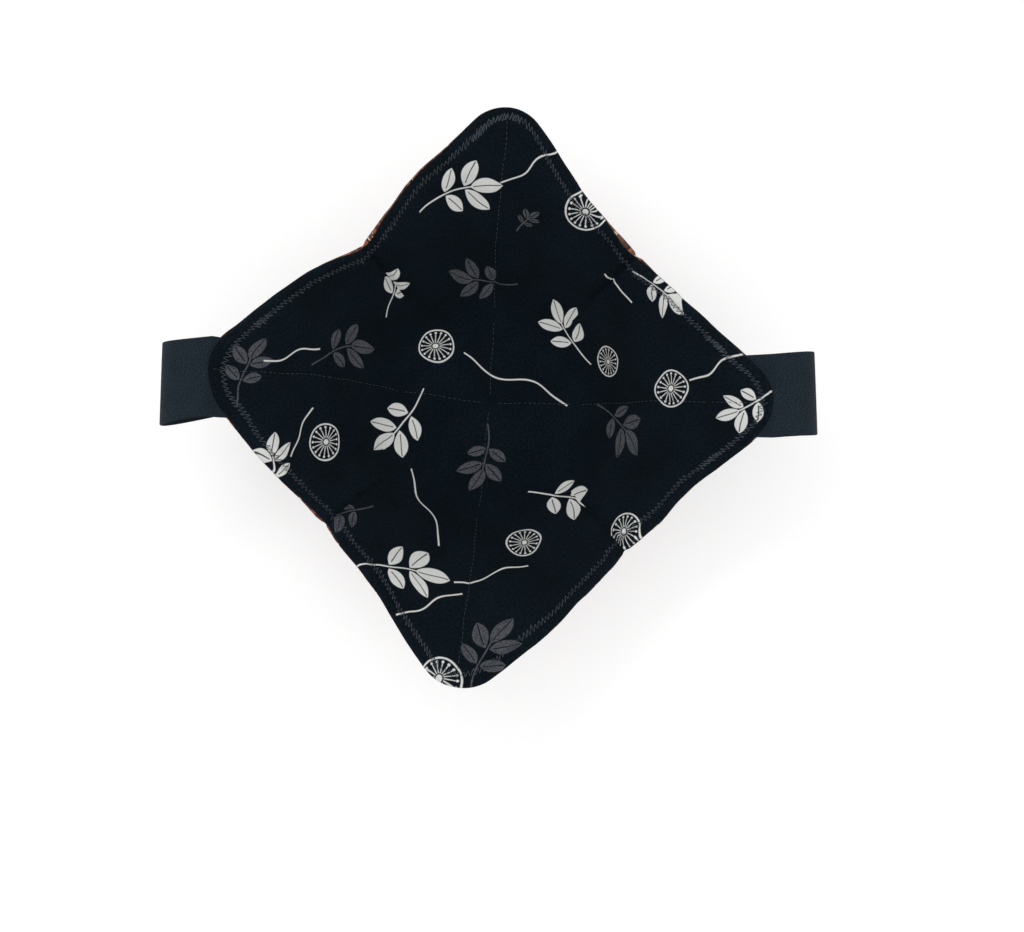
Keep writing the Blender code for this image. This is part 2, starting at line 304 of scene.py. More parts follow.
    def flat(self, distance: Array, azimuth: Array, corner: Array) -> Array:
        """Return the flat coordinates of points on the uncut square of cloth.

        Args:
            distance: Distance along the cloth from its middle.
            azimuth: Azimuth on the sewn cloth.
            corner: Number of the corner whose quarter of the cloth is meant, as
                the two sides of a dart lie apart on the flat cloth.

        Returns:
            Flat coordinates, with x and y in the last axis.
        """
        angle = np.angle(np.exp(1j * (azimuth - corner * QUARTER_TURN)))
        turned = corner * QUARTER_TURN + angle * self.narrowing(distance)
        return np.stack([distance * np.cos(turned), distance * np.sin(turned)], axis=-1)

    def sewn(self, distance: Array, azimuth: Array) -> tuple[Array, Array]:
        """Return coordinates on the sewn cloth that run on across its darts."""
        return distance * np.cos(azimuth), distance * np.sin(azimuth)

    def from_flat(self, along: Array, across: Array, corner: Corner) -> tuple[Array, Array]:
        """Turn flat coordinates on a corner's diagonal into distance and azimuth.

        Args:
            along: Distance along the diagonal from the cloth's middle.
            across: Distance to the side of the diagonal.
            corner: The corner that the diagonal runs to.

        Returns:
            The distance along the cloth and the azimuth on it.
        """
        distance = np.hypot(along, across)
        angle = np.arctan2(across, along) / self.narrowing(distance)
        return distance, angle + corner.value * QUARTER_TURN

    def point(self, distance: Array, azimuth: Array, offset: Array) -> Array:
        """Return points at an offset along the normal, on the gently swaying cloth.

        Args:
            distance: Distance along the cloth from its middle.
            azimuth: Azimuth on the cloth, in radians.
            offset: Distance from the middle surface, towards the lining.

        Returns:
            Points, with x, y and z in the last axis.
        """
        place, normal = self.frame_at(distance, azimuth)
        x, y = self.sewn(distance, azimuth)
        waves = sum(share * ripple(x, y, length, seed) for share, length, seed in self.sway_waves)
        sway = self.sway * ease((distance - self.floor_radius) / self.floor_bend) * waves
        return place + normal * (np.asarray(offset) + sway)[..., None]


@dataclass(frozen=True)
class Sewing:
    """The sewn lines, and how they and the layers shape the cloth's two faces."""

    drape: Drape = Drape()
    cotton: float = 0.0005
    layer_gap: float = 0.0003
    edge_roll: float = 0.003
    topstitch_inset: float = 0.005
    strap_width: float = 0.038
    strap_thickness: float = 0.0013
    strap_tuck: float = 0.020
    strap_offset: float = 0.0034
    strap_margin: float = 1.5 * MM
    strap_side_fade: float = 5 * MM
    strap_end_fade: float = 6 * MM
    strap_swell: float = 0.45 * MM
    quilting: Valley = Valley(0.7 * MM, 1.7 * MM)
    quilting_start: float = 1 * MM
    quilting_fade: float = 4 * MM
    quilting_on_floor: float = 0.45
    quilting_unevenness: float = 0.3
    dart: Valley = Valley(1.9 * MM, 1.6 * MM)
    beside_dart: Valley = Valley(0.5 * MM, 4 * MM, 6 * MM)
    topstitch: Valley = Valley(0.8 * MM, 2.1 * MM)
    pucker: Valley = Valley(0.18 * MM, 5 * MM, 7 * MM)
    loft: float = 0.16 * MM
    loft_on_floor: float = 0.35
    quilting_wave: float = 9 * MM
    pucker_wave: float = 6.8 * MM
    loft_wave: float = 16 * MM
    rim_crease: Valley = Valley(1.1 * MM, 0.55 * MM, 1.9 * MM)
    stitch_strays: tuple[Pull, ...] = (
        Pull(90.0, -1.5 * MM, 7.0), Pull(73.0, 0.9 * MM, 8.0),
        Pull(45.0, 1.0 * MM, 9.0), Pull(180.0, 1.4 * MM, 14.0),
    )
    seam_angle: float = 108.0
    drawn_over: tuple[Pull, ...] = (
        Pull(133.0, -48.0, 8.0), Pull(112.0, -34.0, 14.0),
        Pull(50.0, -58.0, 7.0), Pull(222.0, -30.0, 7.0),
    )

    def strap_share(self, distance: Array, azimuth: Array, inset: Array) -> Array:
        """Return 1 where a strap's end lies between the layers and 0 away from it.

        Args:
            distance: Distance along the cloth from its middle.
            azimuth: Azimuth on the cloth, in radians.
            inset: Distance from the cloth's edge.

        Returns:
            The share at each point.
        """
        corner, angle = self.drape.from_corner(azimuth)
        across = np.abs(distance * np.sin(angle * self.drape.narrowing(distance)) - self.strap_offset)
        sideways = 1 - ease((across - self.strap_width / 2 - self.strap_margin) / self.strap_side_fade)
        inwards = 1 - ease((inset - self.strap_tuck - self.strap_margin) / self.strap_end_fade)
        return np.where(corner % 2 == 0, sideways * inwards, 0.0)

    def strap_at_edge(self, azimuth: Array) -> tuple[Array, Array]:
        """Return the distance to the edge, and 1 where a strap comes out of it."""
        edge = self.drape.edge(azimuth, 0.0)
        return edge, self.strap_share(edge, azimuth, np.zeros_like(edge))

    def seam(self, distance: Array, azimuth: Array, inset: Array) -> Array:
        """Return half the gap between the two nested bowls, wider round a strap.

        Args:
            distance: Distance along the cloth from its middle.
            azimuth: Azimuth on the cloth, in radians.
            inset: Distance from the cloth's edge.

        Returns:
            The half gap at each point.
        """
        clear = self.layer_gap / 2
        over_strap = self.strap_thickness / 2 + self.layer_gap
        return clear + (over_strap - clear) * self.strap_share(distance, azimuth, inset)

    def stitch_line(self, azimuth: Array) -> Array:
        """Return the topstitch's inset, which strays a little round the edge."""
        return self.topstitch_inset + sum(pull.at(azimuth) for pull in self.stitch_strays)

    def rolled(self, inset: Array) -> Array:
        """Return the share of a face's height that is left on the rolled edge."""
        sine = 1 - np.clip(inset / self.edge_roll, 0.0, 1.0)
        return np.sqrt(1 - sine ** 2)

    def crease(self, side: Side, azimuth: Array, inset: Array) -> Array:
        """Return the depth of the crease that a hidden strap pulls in the lining's rim.

        Args:
            side: The lining's face or the outside one, which has no crease.
            azimuth: Azimuth on the cloth, in radians.
            inset: Distance from the cloth's edge.

        Returns:
            The depth at each point.
        """
        if side is Side.OUTSIDE:
            return np.zeros_like(inset)
        return self.strap_at_edge(azimuth)[1] * self.rim_crease.at(inset)

    def roll_reach(self, side: Side, azimuth: Array) -> Array:
        """Return the angle that a panel covers of the half turn round the edge.

        The seam lies near the middle of the edge, drawn over to the lining's
        face where the outside cotton shows, and opens where a strap comes out.

        Args:
            side: The lining's panel or the outside one.
            azimuth: Azimuth on the cloth, in radians.

        Returns:
            The angle in radians.
        """
        edge, share = self.strap_at_edge(azimuth)
        seam = self.seam_angle + sum(pull.at(azimuth) for pull in self.drawn_over)
        seam = np.radians(seam + (90.0 - seam) * share)
        opening = self.seam(edge, azimuth, np.zeros_like(edge)) / self.drape.half_thickness
        covered = seam if side is Side.LINING else math.pi - seam
        return covered - np.arcsin(opening)

    def face(self, side: Side, distance: Array, azimuth: Array, inset: Array) -> Array:
        """Return how far a face of the cozy lies from the middle surface.

        The full half thickness is pulled down in a soft valley along each sewn
        line: the quilting on the diagonals, the darts and the topstitching,
        whose pull leaves small puckers beside it.

        Args:
            side: The lining's face or the outside one.
            distance: Distance along the cloth from its middle.
            azimuth: Azimuth on the cloth, in radians.
            inset: Distance from the cloth's edge.

        Returns:
            The distance of the face from the middle surface.
        """
        drape = self.drape
        x, y = drape.sewn(distance, azimuth)
        angle = np.abs(drape.from_corner(azimuth)[1])
        narrowing = drape.narrowing(distance)
        off_diagonal = distance * angle * narrowing
        off_dart = distance * (EIGHTH_TURN - angle) * narrowing
        past_floor = ease((distance - drape.floor_radius) / drape.floor_bend)
        floor_loft = self.loft_on_floor if side is Side.LINING else 0.0
        inner = ease((distance - self.quilting_start) / self.quilting_fade)
        strength = self.quilting_on_floor + (1 - self.quilting_on_floor) * past_floor
        uneven = 1 + self.quilting_unevenness * ripple(x, y, self.quilting_wave, side.seed)
        quilting = self.quilting.at(off_diagonal) * inner * strength * uneven
        past_point = ease((distance - (drape.half_side - drape.dart_depth)) / (drape.dart_depth / 2))
        dart = self.dart.at(off_dart) * past_point
        stitched = self.topstitch.at(inset - self.stitch_line(azimuth))
        dips = np.maximum(np.maximum(quilting, dart), stitched)
        swell = self.beside_dart.at(off_dart) * past_point
        pucker = self.pucker.at(inset) * ripple(x, y, self.pucker_wave, side.seed + 1)
        loft = self.loft * ripple(x, y, self.loft_wave, side.seed + 2)
        loft = loft * (floor_loft + (1 - floor_loft) * past_floor)
        over_strap = self.strap_swell * self.strap_share(distance, azimuth, inset)
        return drape.half_thickness - dips + swell + loft + pucker + over_strap


@dataclass(frozen=True)
class GridPlan:
    """How finely the round cloth pieces are divided, closer together at sewn lines."""

    near_diagonal: int = 10
    between: int = 62
    near_dart: int = 8
    near_angle: float = 2.5
    first_row: float = 0.05
    floor_rows: int = 12
    wall_rows: int = 58
    hem_inset: float = 0.010
    hem_rows: int = 14
    roll_rows: int = 14
    back_rows: int = 12

    def azimuths(self) -> Array:
        """Return the columns' azimuths once round, each eighth turn mirrored into the next.

        Returns:
            The azimuths in radians.
        """
        stop = 45.0 - self.near_angle
        first = np.linspace(0.0, self.near_angle, self.near_diagonal, endpoint=False)
        second = np.linspace(self.near_angle, stop, self.between, endpoint=False)
        third = np.linspace(stop, 45.0, self.near_dart + 1)
        half = np.radians(np.concatenate([first, second, third]))
        one_corner = np.concatenate([-half[::-1], half[1:-1]])
        return np.concatenate([one_corner + k * QUARTER_TURN for k in range(4)])


def close_rings(rings: Array, ends: Optional[Array] = None) -> tuple[Array, list]:
    """Join rings of points into a shell that a fan of triangles closes at each end.

    Args:
        rings: Points, as rings by points round by 3.
        ends: The middles of the two fans, or nothing for the end rings' means.

    Returns:
        The points, and a list of the four-sided and the three-sided faces.
    """
    count, columns = rings.shape[:2]
    ring = np.arange(count - 1)[:, None] * columns
    column = np.arange(columns)
    beside = (column + 1) % columns
    quads = [ring + column, ring + beside, ring + columns + beside, ring + columns + column]
    tip = count * columns
    last = tip - columns
    first_fan = np.stack([beside, column, np.full(columns, tip)], axis=-1)
    last_fan = np.stack([last + column, last + beside, np.full(columns, tip + 1)], axis=-1)
    if ends is None:
        ends = rings[[0, -1]].mean(axis=1)
    faces = [np.stack(quads, axis=-1).reshape(-1, 4), np.concatenate([first_fan, last_fan])]
    return np.concatenate([rings.reshape(-1, 3), ends]), faces


def mesh_piece(name: str, points: Array, faces: list, flat: Optional[Array] = None) -> bpy.types.Object:
    """Make an object at the origin from computed points and faces.

    Args:
        name: The object's name.
        points: Points of the mesh, in metres.
        faces: Faces, as arrays of point numbers of one size each.
        flat: Flat coordinates of each corner of each face, for the piece's UV map.

    Returns:
        The new object, shaded smooth, with its faces pointing out.
    """
    points = np.ascontiguousarray(points, dtype=np.float32).reshape(-1, 3)
    loops = np.concatenate([np.asarray(part, dtype=np.int32).reshape(-1) for part in faces])
    sizes = np.concatenate([np.full(len(part), np.shape(part)[1], np.int32) for part in faces])
    starts = np.concatenate([[0], np.cumsum(sizes)[:-1]]).astype(np.int32)
    mesh = bpy.data.meshes.new(name)
    mesh.vertices.add(len(points))
    mesh.vertices.foreach_set("co", points.ravel())
    mesh.loops.add(len(loops))
    mesh.loops.foreach_set("vertex_index", loops)
    mesh.polygons.add(len(sizes))
    mesh.polygons.foreach_set("loop_start", starts)
    mesh.update(calc_edges=True)
    mesh.validate()
    mesh.shade_smooth()
    if flat is not None:
        layer = mesh.uv_layers.new(name="cloth")
        layer.uv.foreach_set("vector", np.asarray(flat, np.float32).ravel())
    piece = bpy.data.objects.new(name, mesh)
    bpy.context.collection.objects.link(piece)
    if signed_volume(points, faces) < 0:
        mesh.flip_normals()
    return piece


def at_corners(values: Array, faces: list) -> Array:
    """Spread values given at points out to every corner of every face."""
    return np.concatenate([values[np.asarray(part).reshape(-1)] for part in faces])


def signed_volume(points: Array, faces: list) -> float:
    """Return the volume that the faces enclose, negative where they point inwards.

    It is the sum of the pyramids from the origin to each triangle of each face.

    Args:
        points: Points of the mesh.
        faces: Faces, as arrays of point numbers of one size each.

    Returns:
        The volume.
    """
    total = 0.0
    for part in faces:
        corner = points[np.asarray(part)]
        for k in range(1, corner.shape[1] - 1):
            turn = np.cross(corner[:, k], corner[:, k + 1])
            total += float(np.einsum("ij,ij->i", corner[:, 0], turn).sum()) / 6
    return total


def finish_piece(piece: bpy.types.Object, material: bpy.types.Material, slot: str, *nodes: str) -> None:
    """Dress a piece, set the body it rides on and report it.

    Args:
        piece: The finished object.
        material: Its material.
        slot: The record's material slot that it stands for; it is not used.
        nodes: The CAD nodes that it replaces.
    """
    piece.data.materials.clear()
    piece.data.materials.append(material)
    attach(piece, "root")
    if nodes:
        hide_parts(*nodes)
    sizes = np.zeros(len(piece.data.polygons), np.int32)
    piece.data.polygons.foreach_get("loop_total", sizes)
    LOG.info("%s: %d triangles", piece.name, int((sizes - 2).sum()))


@dataclass
class ClothShell:
    """A round layer of the cozy: a face, and a back that runs back below it."""

    name: str
    side: Side
    sewing: Sewing = Sewing()
    plan: GridPlan = GridPlan()

    def flat_rows(self, azimuth: Array) -> list[tuple[Array, Array]]:
        """Return the rows from the middle of the floor to where the edge rolls.

        Args:
            azimuth: The columns' azimuths.

        Returns:
            The distance and the inset of each row.
        """
        drape, plan = self.sewing.drape, self.plan
        edge, hem = drape.edge(azimuth, 0.0), drape.edge(azimuth, plan.hem_inset)
        floor = np.full_like(azimuth, drape.floor_radius)
        inner = [floor * (k + plan.first_row) / plan.floor_rows for k in range(plan.floor_rows)]
        inner += [floor + (hem - floor) * k / plan.wall_rows for k in range(plan.wall_rows)]
        insets = np.linspace(plan.hem_inset, self.sewing.edge_roll, plan.hem_rows)
        outer = [(drape.edge(azimuth, inset), np.full_like(edge, inset)) for inset in insets]
        return [(distance, edge - distance) for distance in inner] + outer

    def rows(self, azimuth: Array) -> tuple[list, list]:
        """Return the distances and offsets of the face's and of the back's rows."""
        raise NotImplementedError

    def flat_map(self, distance: Array, azimuth: Array, faces: list) -> Optional[Array]:
        """Return the flat coordinates of every corner of every face, if the piece has them."""
        return None

    def build(self, material: bpy.types.Material, slot: str, node: str) -> bpy.types.Object:
        """Build and dress the layer.

        Args:
            material: The layer's material.
            slot: The record's material slot.
            node: The CAD node that it replaces.

        Returns:
            The finished layer.
        """
        azimuth = self.plan.azimuths()
        face, back = self.rows(azimuth)
        distance, offset = (np.stack(column) for column in zip(*(face + back[::-1])))
        around = np.broadcast_to(azimuth, distance.shape)
        rings = self.sewing.drape.point(distance, around, self.side.value * offset)
        points, faces = close_rings(rings)
        piece = mesh_piece(self.name, points, faces, self.flat_map(distance, azimuth, faces))
        finish_piece(piece, material, slot, node)
        return piece


@dataclass
class ClothPanel(ClothShell):
    """A cotton bowl with a thin wall, whose edge turns down to the seam."""

    def rows(self, azimuth: Array) -> tuple[list, list]:
        """Return the grid rows of the panel's face and of its back.

        The face runs from the middle of the floor up the wall, over the hem and
        down the rolled edge, in an arc of an ellipse that ends at the seam. The
        back follows it one cloth thickness below, with fewer rows.

        Args:
            azimuth: The columns' azimuths.

        Returns:
            The distances and offsets of the face's rows and of the back's.
        """
        sewing, drape, plan = self.sewing, self.sewing.drape, self.plan
        rows = self.flat_rows(azimuth)
        face = [(distance, sewing.face(self.side, distance, azimuth, inset)) for distance, inset in rows]
        step = max(len(face) // plan.back_rows, 1)
        chosen = face[::step] + (face[-1:] if (len(face) - 1) % step else [])
        back = [(distance, offset - sewing.cotton) for distance, offset in chosen]
        top = face[-1][1]
        reach = sewing.roll_reach(self.side, azimuth)
        for k in range(1, plan.roll_rows + 1):
            sine, cosine = np.sin(reach * k / plan.roll_rows), np.cos(reach * k / plan.roll_rows)
            inset = sewing.edge_roll * (1 - sine)
            crease = sewing.crease(self.side, azimuth, inset)
            face.append((drape.edge(azimuth, inset), (top - crease) * cosine))
            inner_inset = sewing.edge_roll - (sewing.edge_roll - sewing.cotton) * sine
            back.append((drape.edge(azimuth, inner_inset), (top - sewing.cotton) * cosine))
        return face, back

    def flat_map(self, distance: Array, azimuth: Array, faces: list) -> Optional[Array]:
        """Return the flat coordinates of every corner of every face.

        Each column of faces belongs to the quarter of cloth that its middle is
        on, so that the print is cut at the darts as the cloth is.

        Args:
            distance: Distance of each point of the rings from the cloth's middle.
            azimuth: The columns' azimuths.
            faces: The four-sided and the three-sided faces.

        Returns:
            Flat coordinates, with x and y in the last axis.
        """
        around = np.broadcast_to(azimuth, distance.shape)
        reach, angle = (at_corners(np.append(x, [0.0, 0.0]), faces) for x in (distance, around))
        half_step = np.diff(azimuth, append=azimuth[0] + FULL_TURN) / 2
        quarter = np.round((azimuth + half_step) / QUARTER_TURN) % 4
        sides = np.tile(quarter, len(distance) - 1).repeat(4)
        return self.sewing.drape.flat(reach, angle, np.concatenate([sides, np.tile(quarter, 2).repeat(3)]))


@dataclass
class BattingLayer(ClothShell):
    """A soft bowl of cotton batting behind one of the cotton panels."""

    plan: GridPlan = GridPlan(
        near_diagonal=5, between=31, near_dart=4, floor_rows=6, wall_rows=40, hem_rows=8
    )
    slack: float = 0.25 * MM
    thinnest: float = 0.3 * MM

    def rows(self, azimuth: Array) -> tuple[list, list]:
        """Return the grid rows of the batting's face and of its back.

        The face follows the panel's back and the back follows the middle
        surface. The cut edge ends where the panel's edge starts to roll.

        Args:
            azimuth: The columns' azimuths.

        Returns:
            The distances and offsets of the face's rows and of the back's.
        """
        sewing = self.sewing
        edge = sewing.drape.edge(azimuth, 0.0)
        below = sewing.cotton + sewing.layer_gap + self.slack
        face, back = [], []
        for distance, _ in self.flat_rows(azimuth):
            seam = sewing.seam(distance, azimuth, edge - distance)
            top = sewing.face(self.side, distance, azimuth, edge - distance) - below
            face.append((distance, np.maximum(top, seam + self.thinnest)))
            back.append((distance, seam))
        return face, back

    def build(self, material: bpy.types.Material, slot: str, node: str) -> bpy.types.Object:
        """Args:
            material: The batting's material.
            slot: The record's material slot.
            node: The CAD node that it replaces.

        Returns:
            The finished batting.
        """
        piece = super().build(material, slot, node)
        return piece


@dataclass(frozen=True)
class Stitch:
    """How the thread of one stitch lies: sunk at its holes and proud between them."""

    radius: float = 0.15 * MM
    sunk: float = 0.30 * MM
    proud: float = 0.12 * MM
    sides: int = 6

    def heights(self, shares: Array) -> Array:
        """Return the thread's height from hole to hole, a flat arch by the root of a sine."""
        return -self.sunk + (self.sunk + self.proud) * np.sin(math.pi * shares) ** 0.5

    def sweep(self, paths: Array, normals: Array) -> tuple[Array, list, Array]:
        """Carry the thread's round section along many paths at once.

        Each point of a section is the path's point plus the radius times the
        cosine and sine of its angle along the normal and the side direction.

        Args:
            paths: Points, as paths by points by 3.
            normals: A direction away from the cloth at each point.

        Returns:
            The points, the faces, and each point's length along and angle round.
        """
        tangent = np.gradient(paths, axis=1)
        tangent /= np.maximum(np.linalg.norm(tangent, axis=-1, keepdims=True), TINY)
        side = np.cross(tangent, normals)
        side /= np.maximum(np.linalg.norm(side, axis=-1, keepdims=True), TINY)
        upward = np.cross(side, tangent)
        angle = FULL_TURN * np.arange(self.sides) / self.sides
        ring = np.cos(angle)[:, None] * upward[:, :, None] + np.sin(angle)[:, None] * side[:, :, None]
        points = paths[:, :, None] + self.radius * ring
        count, length = paths.shape[:2]
        index = np.arange(count * length * self.sides).reshape(count, length, self.sides)
        beside = np.roll(index, -1, axis=2)
        quads = np.stack([index[:, :-1], beside[:, :-1], beside[:, 1:], index[:, 1:]], axis=-1)
        caps = np.concatenate([index[:, 0, ::-1], index[:, -1]])
        along = np.repeat(lengths_along(paths)[:, :, None], self.sides, axis=2)
        around = np.broadcast_to(angle * self.radius, along.shape)
        flat = np.stack([along, around], -1).reshape(-1, 2)
        return points.reshape(-1, 3), [quads.reshape(-1, 4), caps], flat


def lengths_along(paths: Array) -> Array:
    """Return the length from the start of each path to each of its points."""
    step = np.linalg.norm(np.diff(paths, axis=-2), axis=-1)
    return np.concatenate([np.zeros(step.shape[:-1] + (1,)), np.cumsum(step, axis=-1)], axis=-1)


def thread_piece(name: str, runs: list, material: bpy.types.Material, slot: str) -> bpy.types.Object:
    """Join swept threads into one piece.

    Args:
        name: The piece's name.
        runs: What Stitch.sweep returned for each run.
        material: The thread's material.
        slot: The record's material slot.

    Returns:
        The finished piece.
    """
    starts = np.cumsum([0] + [len(points) for points, _, _ in runs[:-1]])
    faces = [np.concatenate([run[1][k] + start for run, start in zip(runs, starts)]) for k in (0, 1)]
    points, flat = (np.concatenate([run[k] for run in runs]) for k in (0, 2))
    piece = mesh_piece(name, points, faces, at_corners(flat, faces))
    finish_piece(piece, material, slot)
    return piece


@dataclass
class ClothThread:
    """Thread that lies on one face of the cozy and dips in at each needle hole."""

    name: str
    side: Side
    sewing: Sewing = Sewing()
    stitch: Stitch = Stitch()

    def lay(self, distance: Array, azimuth: Array, inset: Array, height: Array) -> tuple[Array, Array]:
        """Return points at a height above a face of the cozy, and the normals there.

        Args:
            distance: Distance along the cloth from its middle.
            azimuth: Azimuth on the cloth, in radians.
            inset: Distance from the cloth's edge.
            height: Height above the face.

        Returns:
            The points and the normals.
        """
        drape = self.sewing.drape
        face = self.sewing.face(self.side, distance, azimuth, inset)
        offset = face * self.sewing.rolled(inset) + height
        points = drape.point(distance, azimuth, self.side.value * offset)
        return points, drape.frame_at(distance, azimuth)[1] * self.side.value


@dataclass
class Topstitch(ClothThread):
    """The zigzag topstitch that runs all round, just inside the edge.

    The doubled runs, in degrees, were sewn twice over with closer needle holes.
    """

    pitch: float = 2.25 * MM
    width: float = 3.2 * MM
    wander: float = 0.6 * MM
    wander_needles: float = 41.0
    width_needles: float = 5.3
    pitch_needles: float = 7.1
    unevenness: float = 0.22
    doubled: tuple[tuple[float, float], ...] = ((87.0, 98.0), (12.0, 16.5), (343.5, 348.0), (165.0, 169.0))
    doubled_pitch: float = 0.36
    shares: tuple[float, ...] = (0.0, 0.12, 0.32, 0.5, 0.68, 0.88)
    samples: int = 4001

    def zigzag(self, azimuth: Array, side_of_line: Array, seed: int) -> tuple[Array, list, Array]:
        """Return one swept thread through needle points at the given azimuths.

        Each point lies half the stitch width to one side of the line and then
        the other, with a little of its own wander.

        Args:
            azimuth: Azimuth of each needle point.
            side_of_line: 1 or -1 for the side on which each one lies.
            seed: Number that shifts the wander.

        Returns:
            What Stitch.sweep returns.
        """
        order = np.arange(len(azimuth), dtype=float)
        slow = ripple(order, order * 0.3, self.wander_needles, seed)
        quick = ripple(order, order * 0.7, self.width_needles, seed + 4)
        inset = self.sewing.stitch_line(azimuth) + self.wander * slow
        inset = inset + side_of_line * self.width / 2 * (1 + self.unevenness * quick)
        shares = np.array(self.shares)
        spots, insets = (
            (ends[:-1, None] + (ends[1:] - ends[:-1])[:, None] * shares).reshape(-1)
            for ends in (azimuth, inset)
        )
        heights = np.tile(self.stitch.heights(shares), len(azimuth) - 1)
        points, normals = self.lay(self.sewing.drape.edge(spots, insets), spots, insets, heights)
        return self.stitch.sweep(points[None], normals[None])

    def build(self, material: bpy.types.Material, slot: str) -> bpy.types.Object:
        """Build the zigzag, sewn at even steps of length round the edge.

        Args:
            material: The thread's material.
            slot: The record's material slot.

        Returns:
            The finished piece.
        """
        drape = self.sewing.drape
        turn = np.linspace(0.0, FULL_TURN, self.samples)
        length = lengths_along(drape.middle(drape.edge(turn, self.sewing.topstitch_inset), turn))
        needles = 2 * round(length[-1] / self.pitch)
        order = np.arange(needles + 1)
        uneven = self.unevenness * ripple(order.astype(float), order * 0.5, self.pitch_needles, 6)
        uneven[0] = uneven[-1] = 0.0
        azimuth = np.interp((order + uneven) * length[-1] / needles, length, turn)
        runs = [self.zigzag(azimuth, np.where(order % 2 == 0, 1.0, -1.0), 1)]
        for number, ends in enumerate(self.doubled):
            first, last = np.interp(np.radians(ends), turn, length)
            again = np.arange(int((last - first) / (self.doubled_pitch * self.pitch)) + 1)
            spots = np.interp(np.linspace(first, last, len(again)), length, turn)
            runs.append(self.zigzag(spots, np.where(again % 2 == 0, -1.0, 1.0), 11 + number))
        return thread_piece(self.name, runs, material, slot)


@dataclass
class Quilting(ClothThread):
    """The straight stitches along both diagonals that hold the batting."""

    pitch: float = 2.5 * MM
    length: float = 1.7 * MM
    start: float = 4.5 * MM
    end_inset: float = 1.8 * MM
    uneven_start: float = 0.25 * MM
    uneven_needles: float = 3.7
    sideways: float = 0.4 * MM
    sideways_wave: float = 31 * MM
    points: int = 6

    def build(self, material: bpy.types.Material, slot: str) -> bpy.types.Object:
        """Build the stitches of the four half diagonals, which run on through the topstitch.

        Args:
            material: The thread's material.
            slot: The record's material slot.

        Returns:
            The finished piece.
        """
        drape = self.sewing.drape
        shares = np.linspace(0.0, 1.0, self.points)
        runs = []
        for corner in Corner:
            azimuth = np.array([corner.value * QUARTER_TURN])
            stop = drape.edge(azimuth, self.end_inset)[0]
            first = np.arange(self.start, stop - self.length, self.pitch)
            order = np.arange(len(first), dtype=float)
            first = first + self.uneven_start * ripple(order, order, self.uneven_needles, corner.value)
            distance = first[:, None] + self.length * shares
            strayed = ripple(distance, distance * 0.2, self.sideways_wave, corner.value + 5)
            spots = azimuth[0] + self.sideways * strayed / distance
            inset = drape.edge(azimuth, 0.0)[0] - distance
            heights = np.broadcast_to(self.stitch.heights(shares), distance.shape)
            runs.append(self.stitch.sweep(*self.lay(distance, spots, inset, heights)))
        return thread_piece(self.name, runs, material, slot)


def unit(vector: Array) -> Array:
    """Return the vector at length 1."""
    return vector / np.linalg.norm(vector)


def turned_level(vector: Array, degrees: float) -> Array:
    """Return the level part of a vector at length 1, turned about the vertical."""
    angle = math.atan2(vector[1], vector[0]) + math.radians(degrees)
    return np.array([math.cos(angle), math.sin(angle), 0.0])


def bezier(start: Array, leave: Array, arrive: Array, end: Array, count: int) -> Array:
    """Return points after the start of a cubic curve, the weighted sum of its four points.

    Args:
        start: Where the curve starts.
        leave: The handle that it leaves towards.
        arrive: The handle that it arrives from.
        end: Where it ends.
        count: How many points are returned.

    Returns:
        The points at even steps of the curve's parameter.
    """
    t = (np.arange(count) + 1.0)[:, None] / count
    first = start * (1 - t) ** 3 + 3 * leave * t * (1 - t) ** 2
    return first + 3 * arrive * t * t * (1 - t) + end * t ** 3


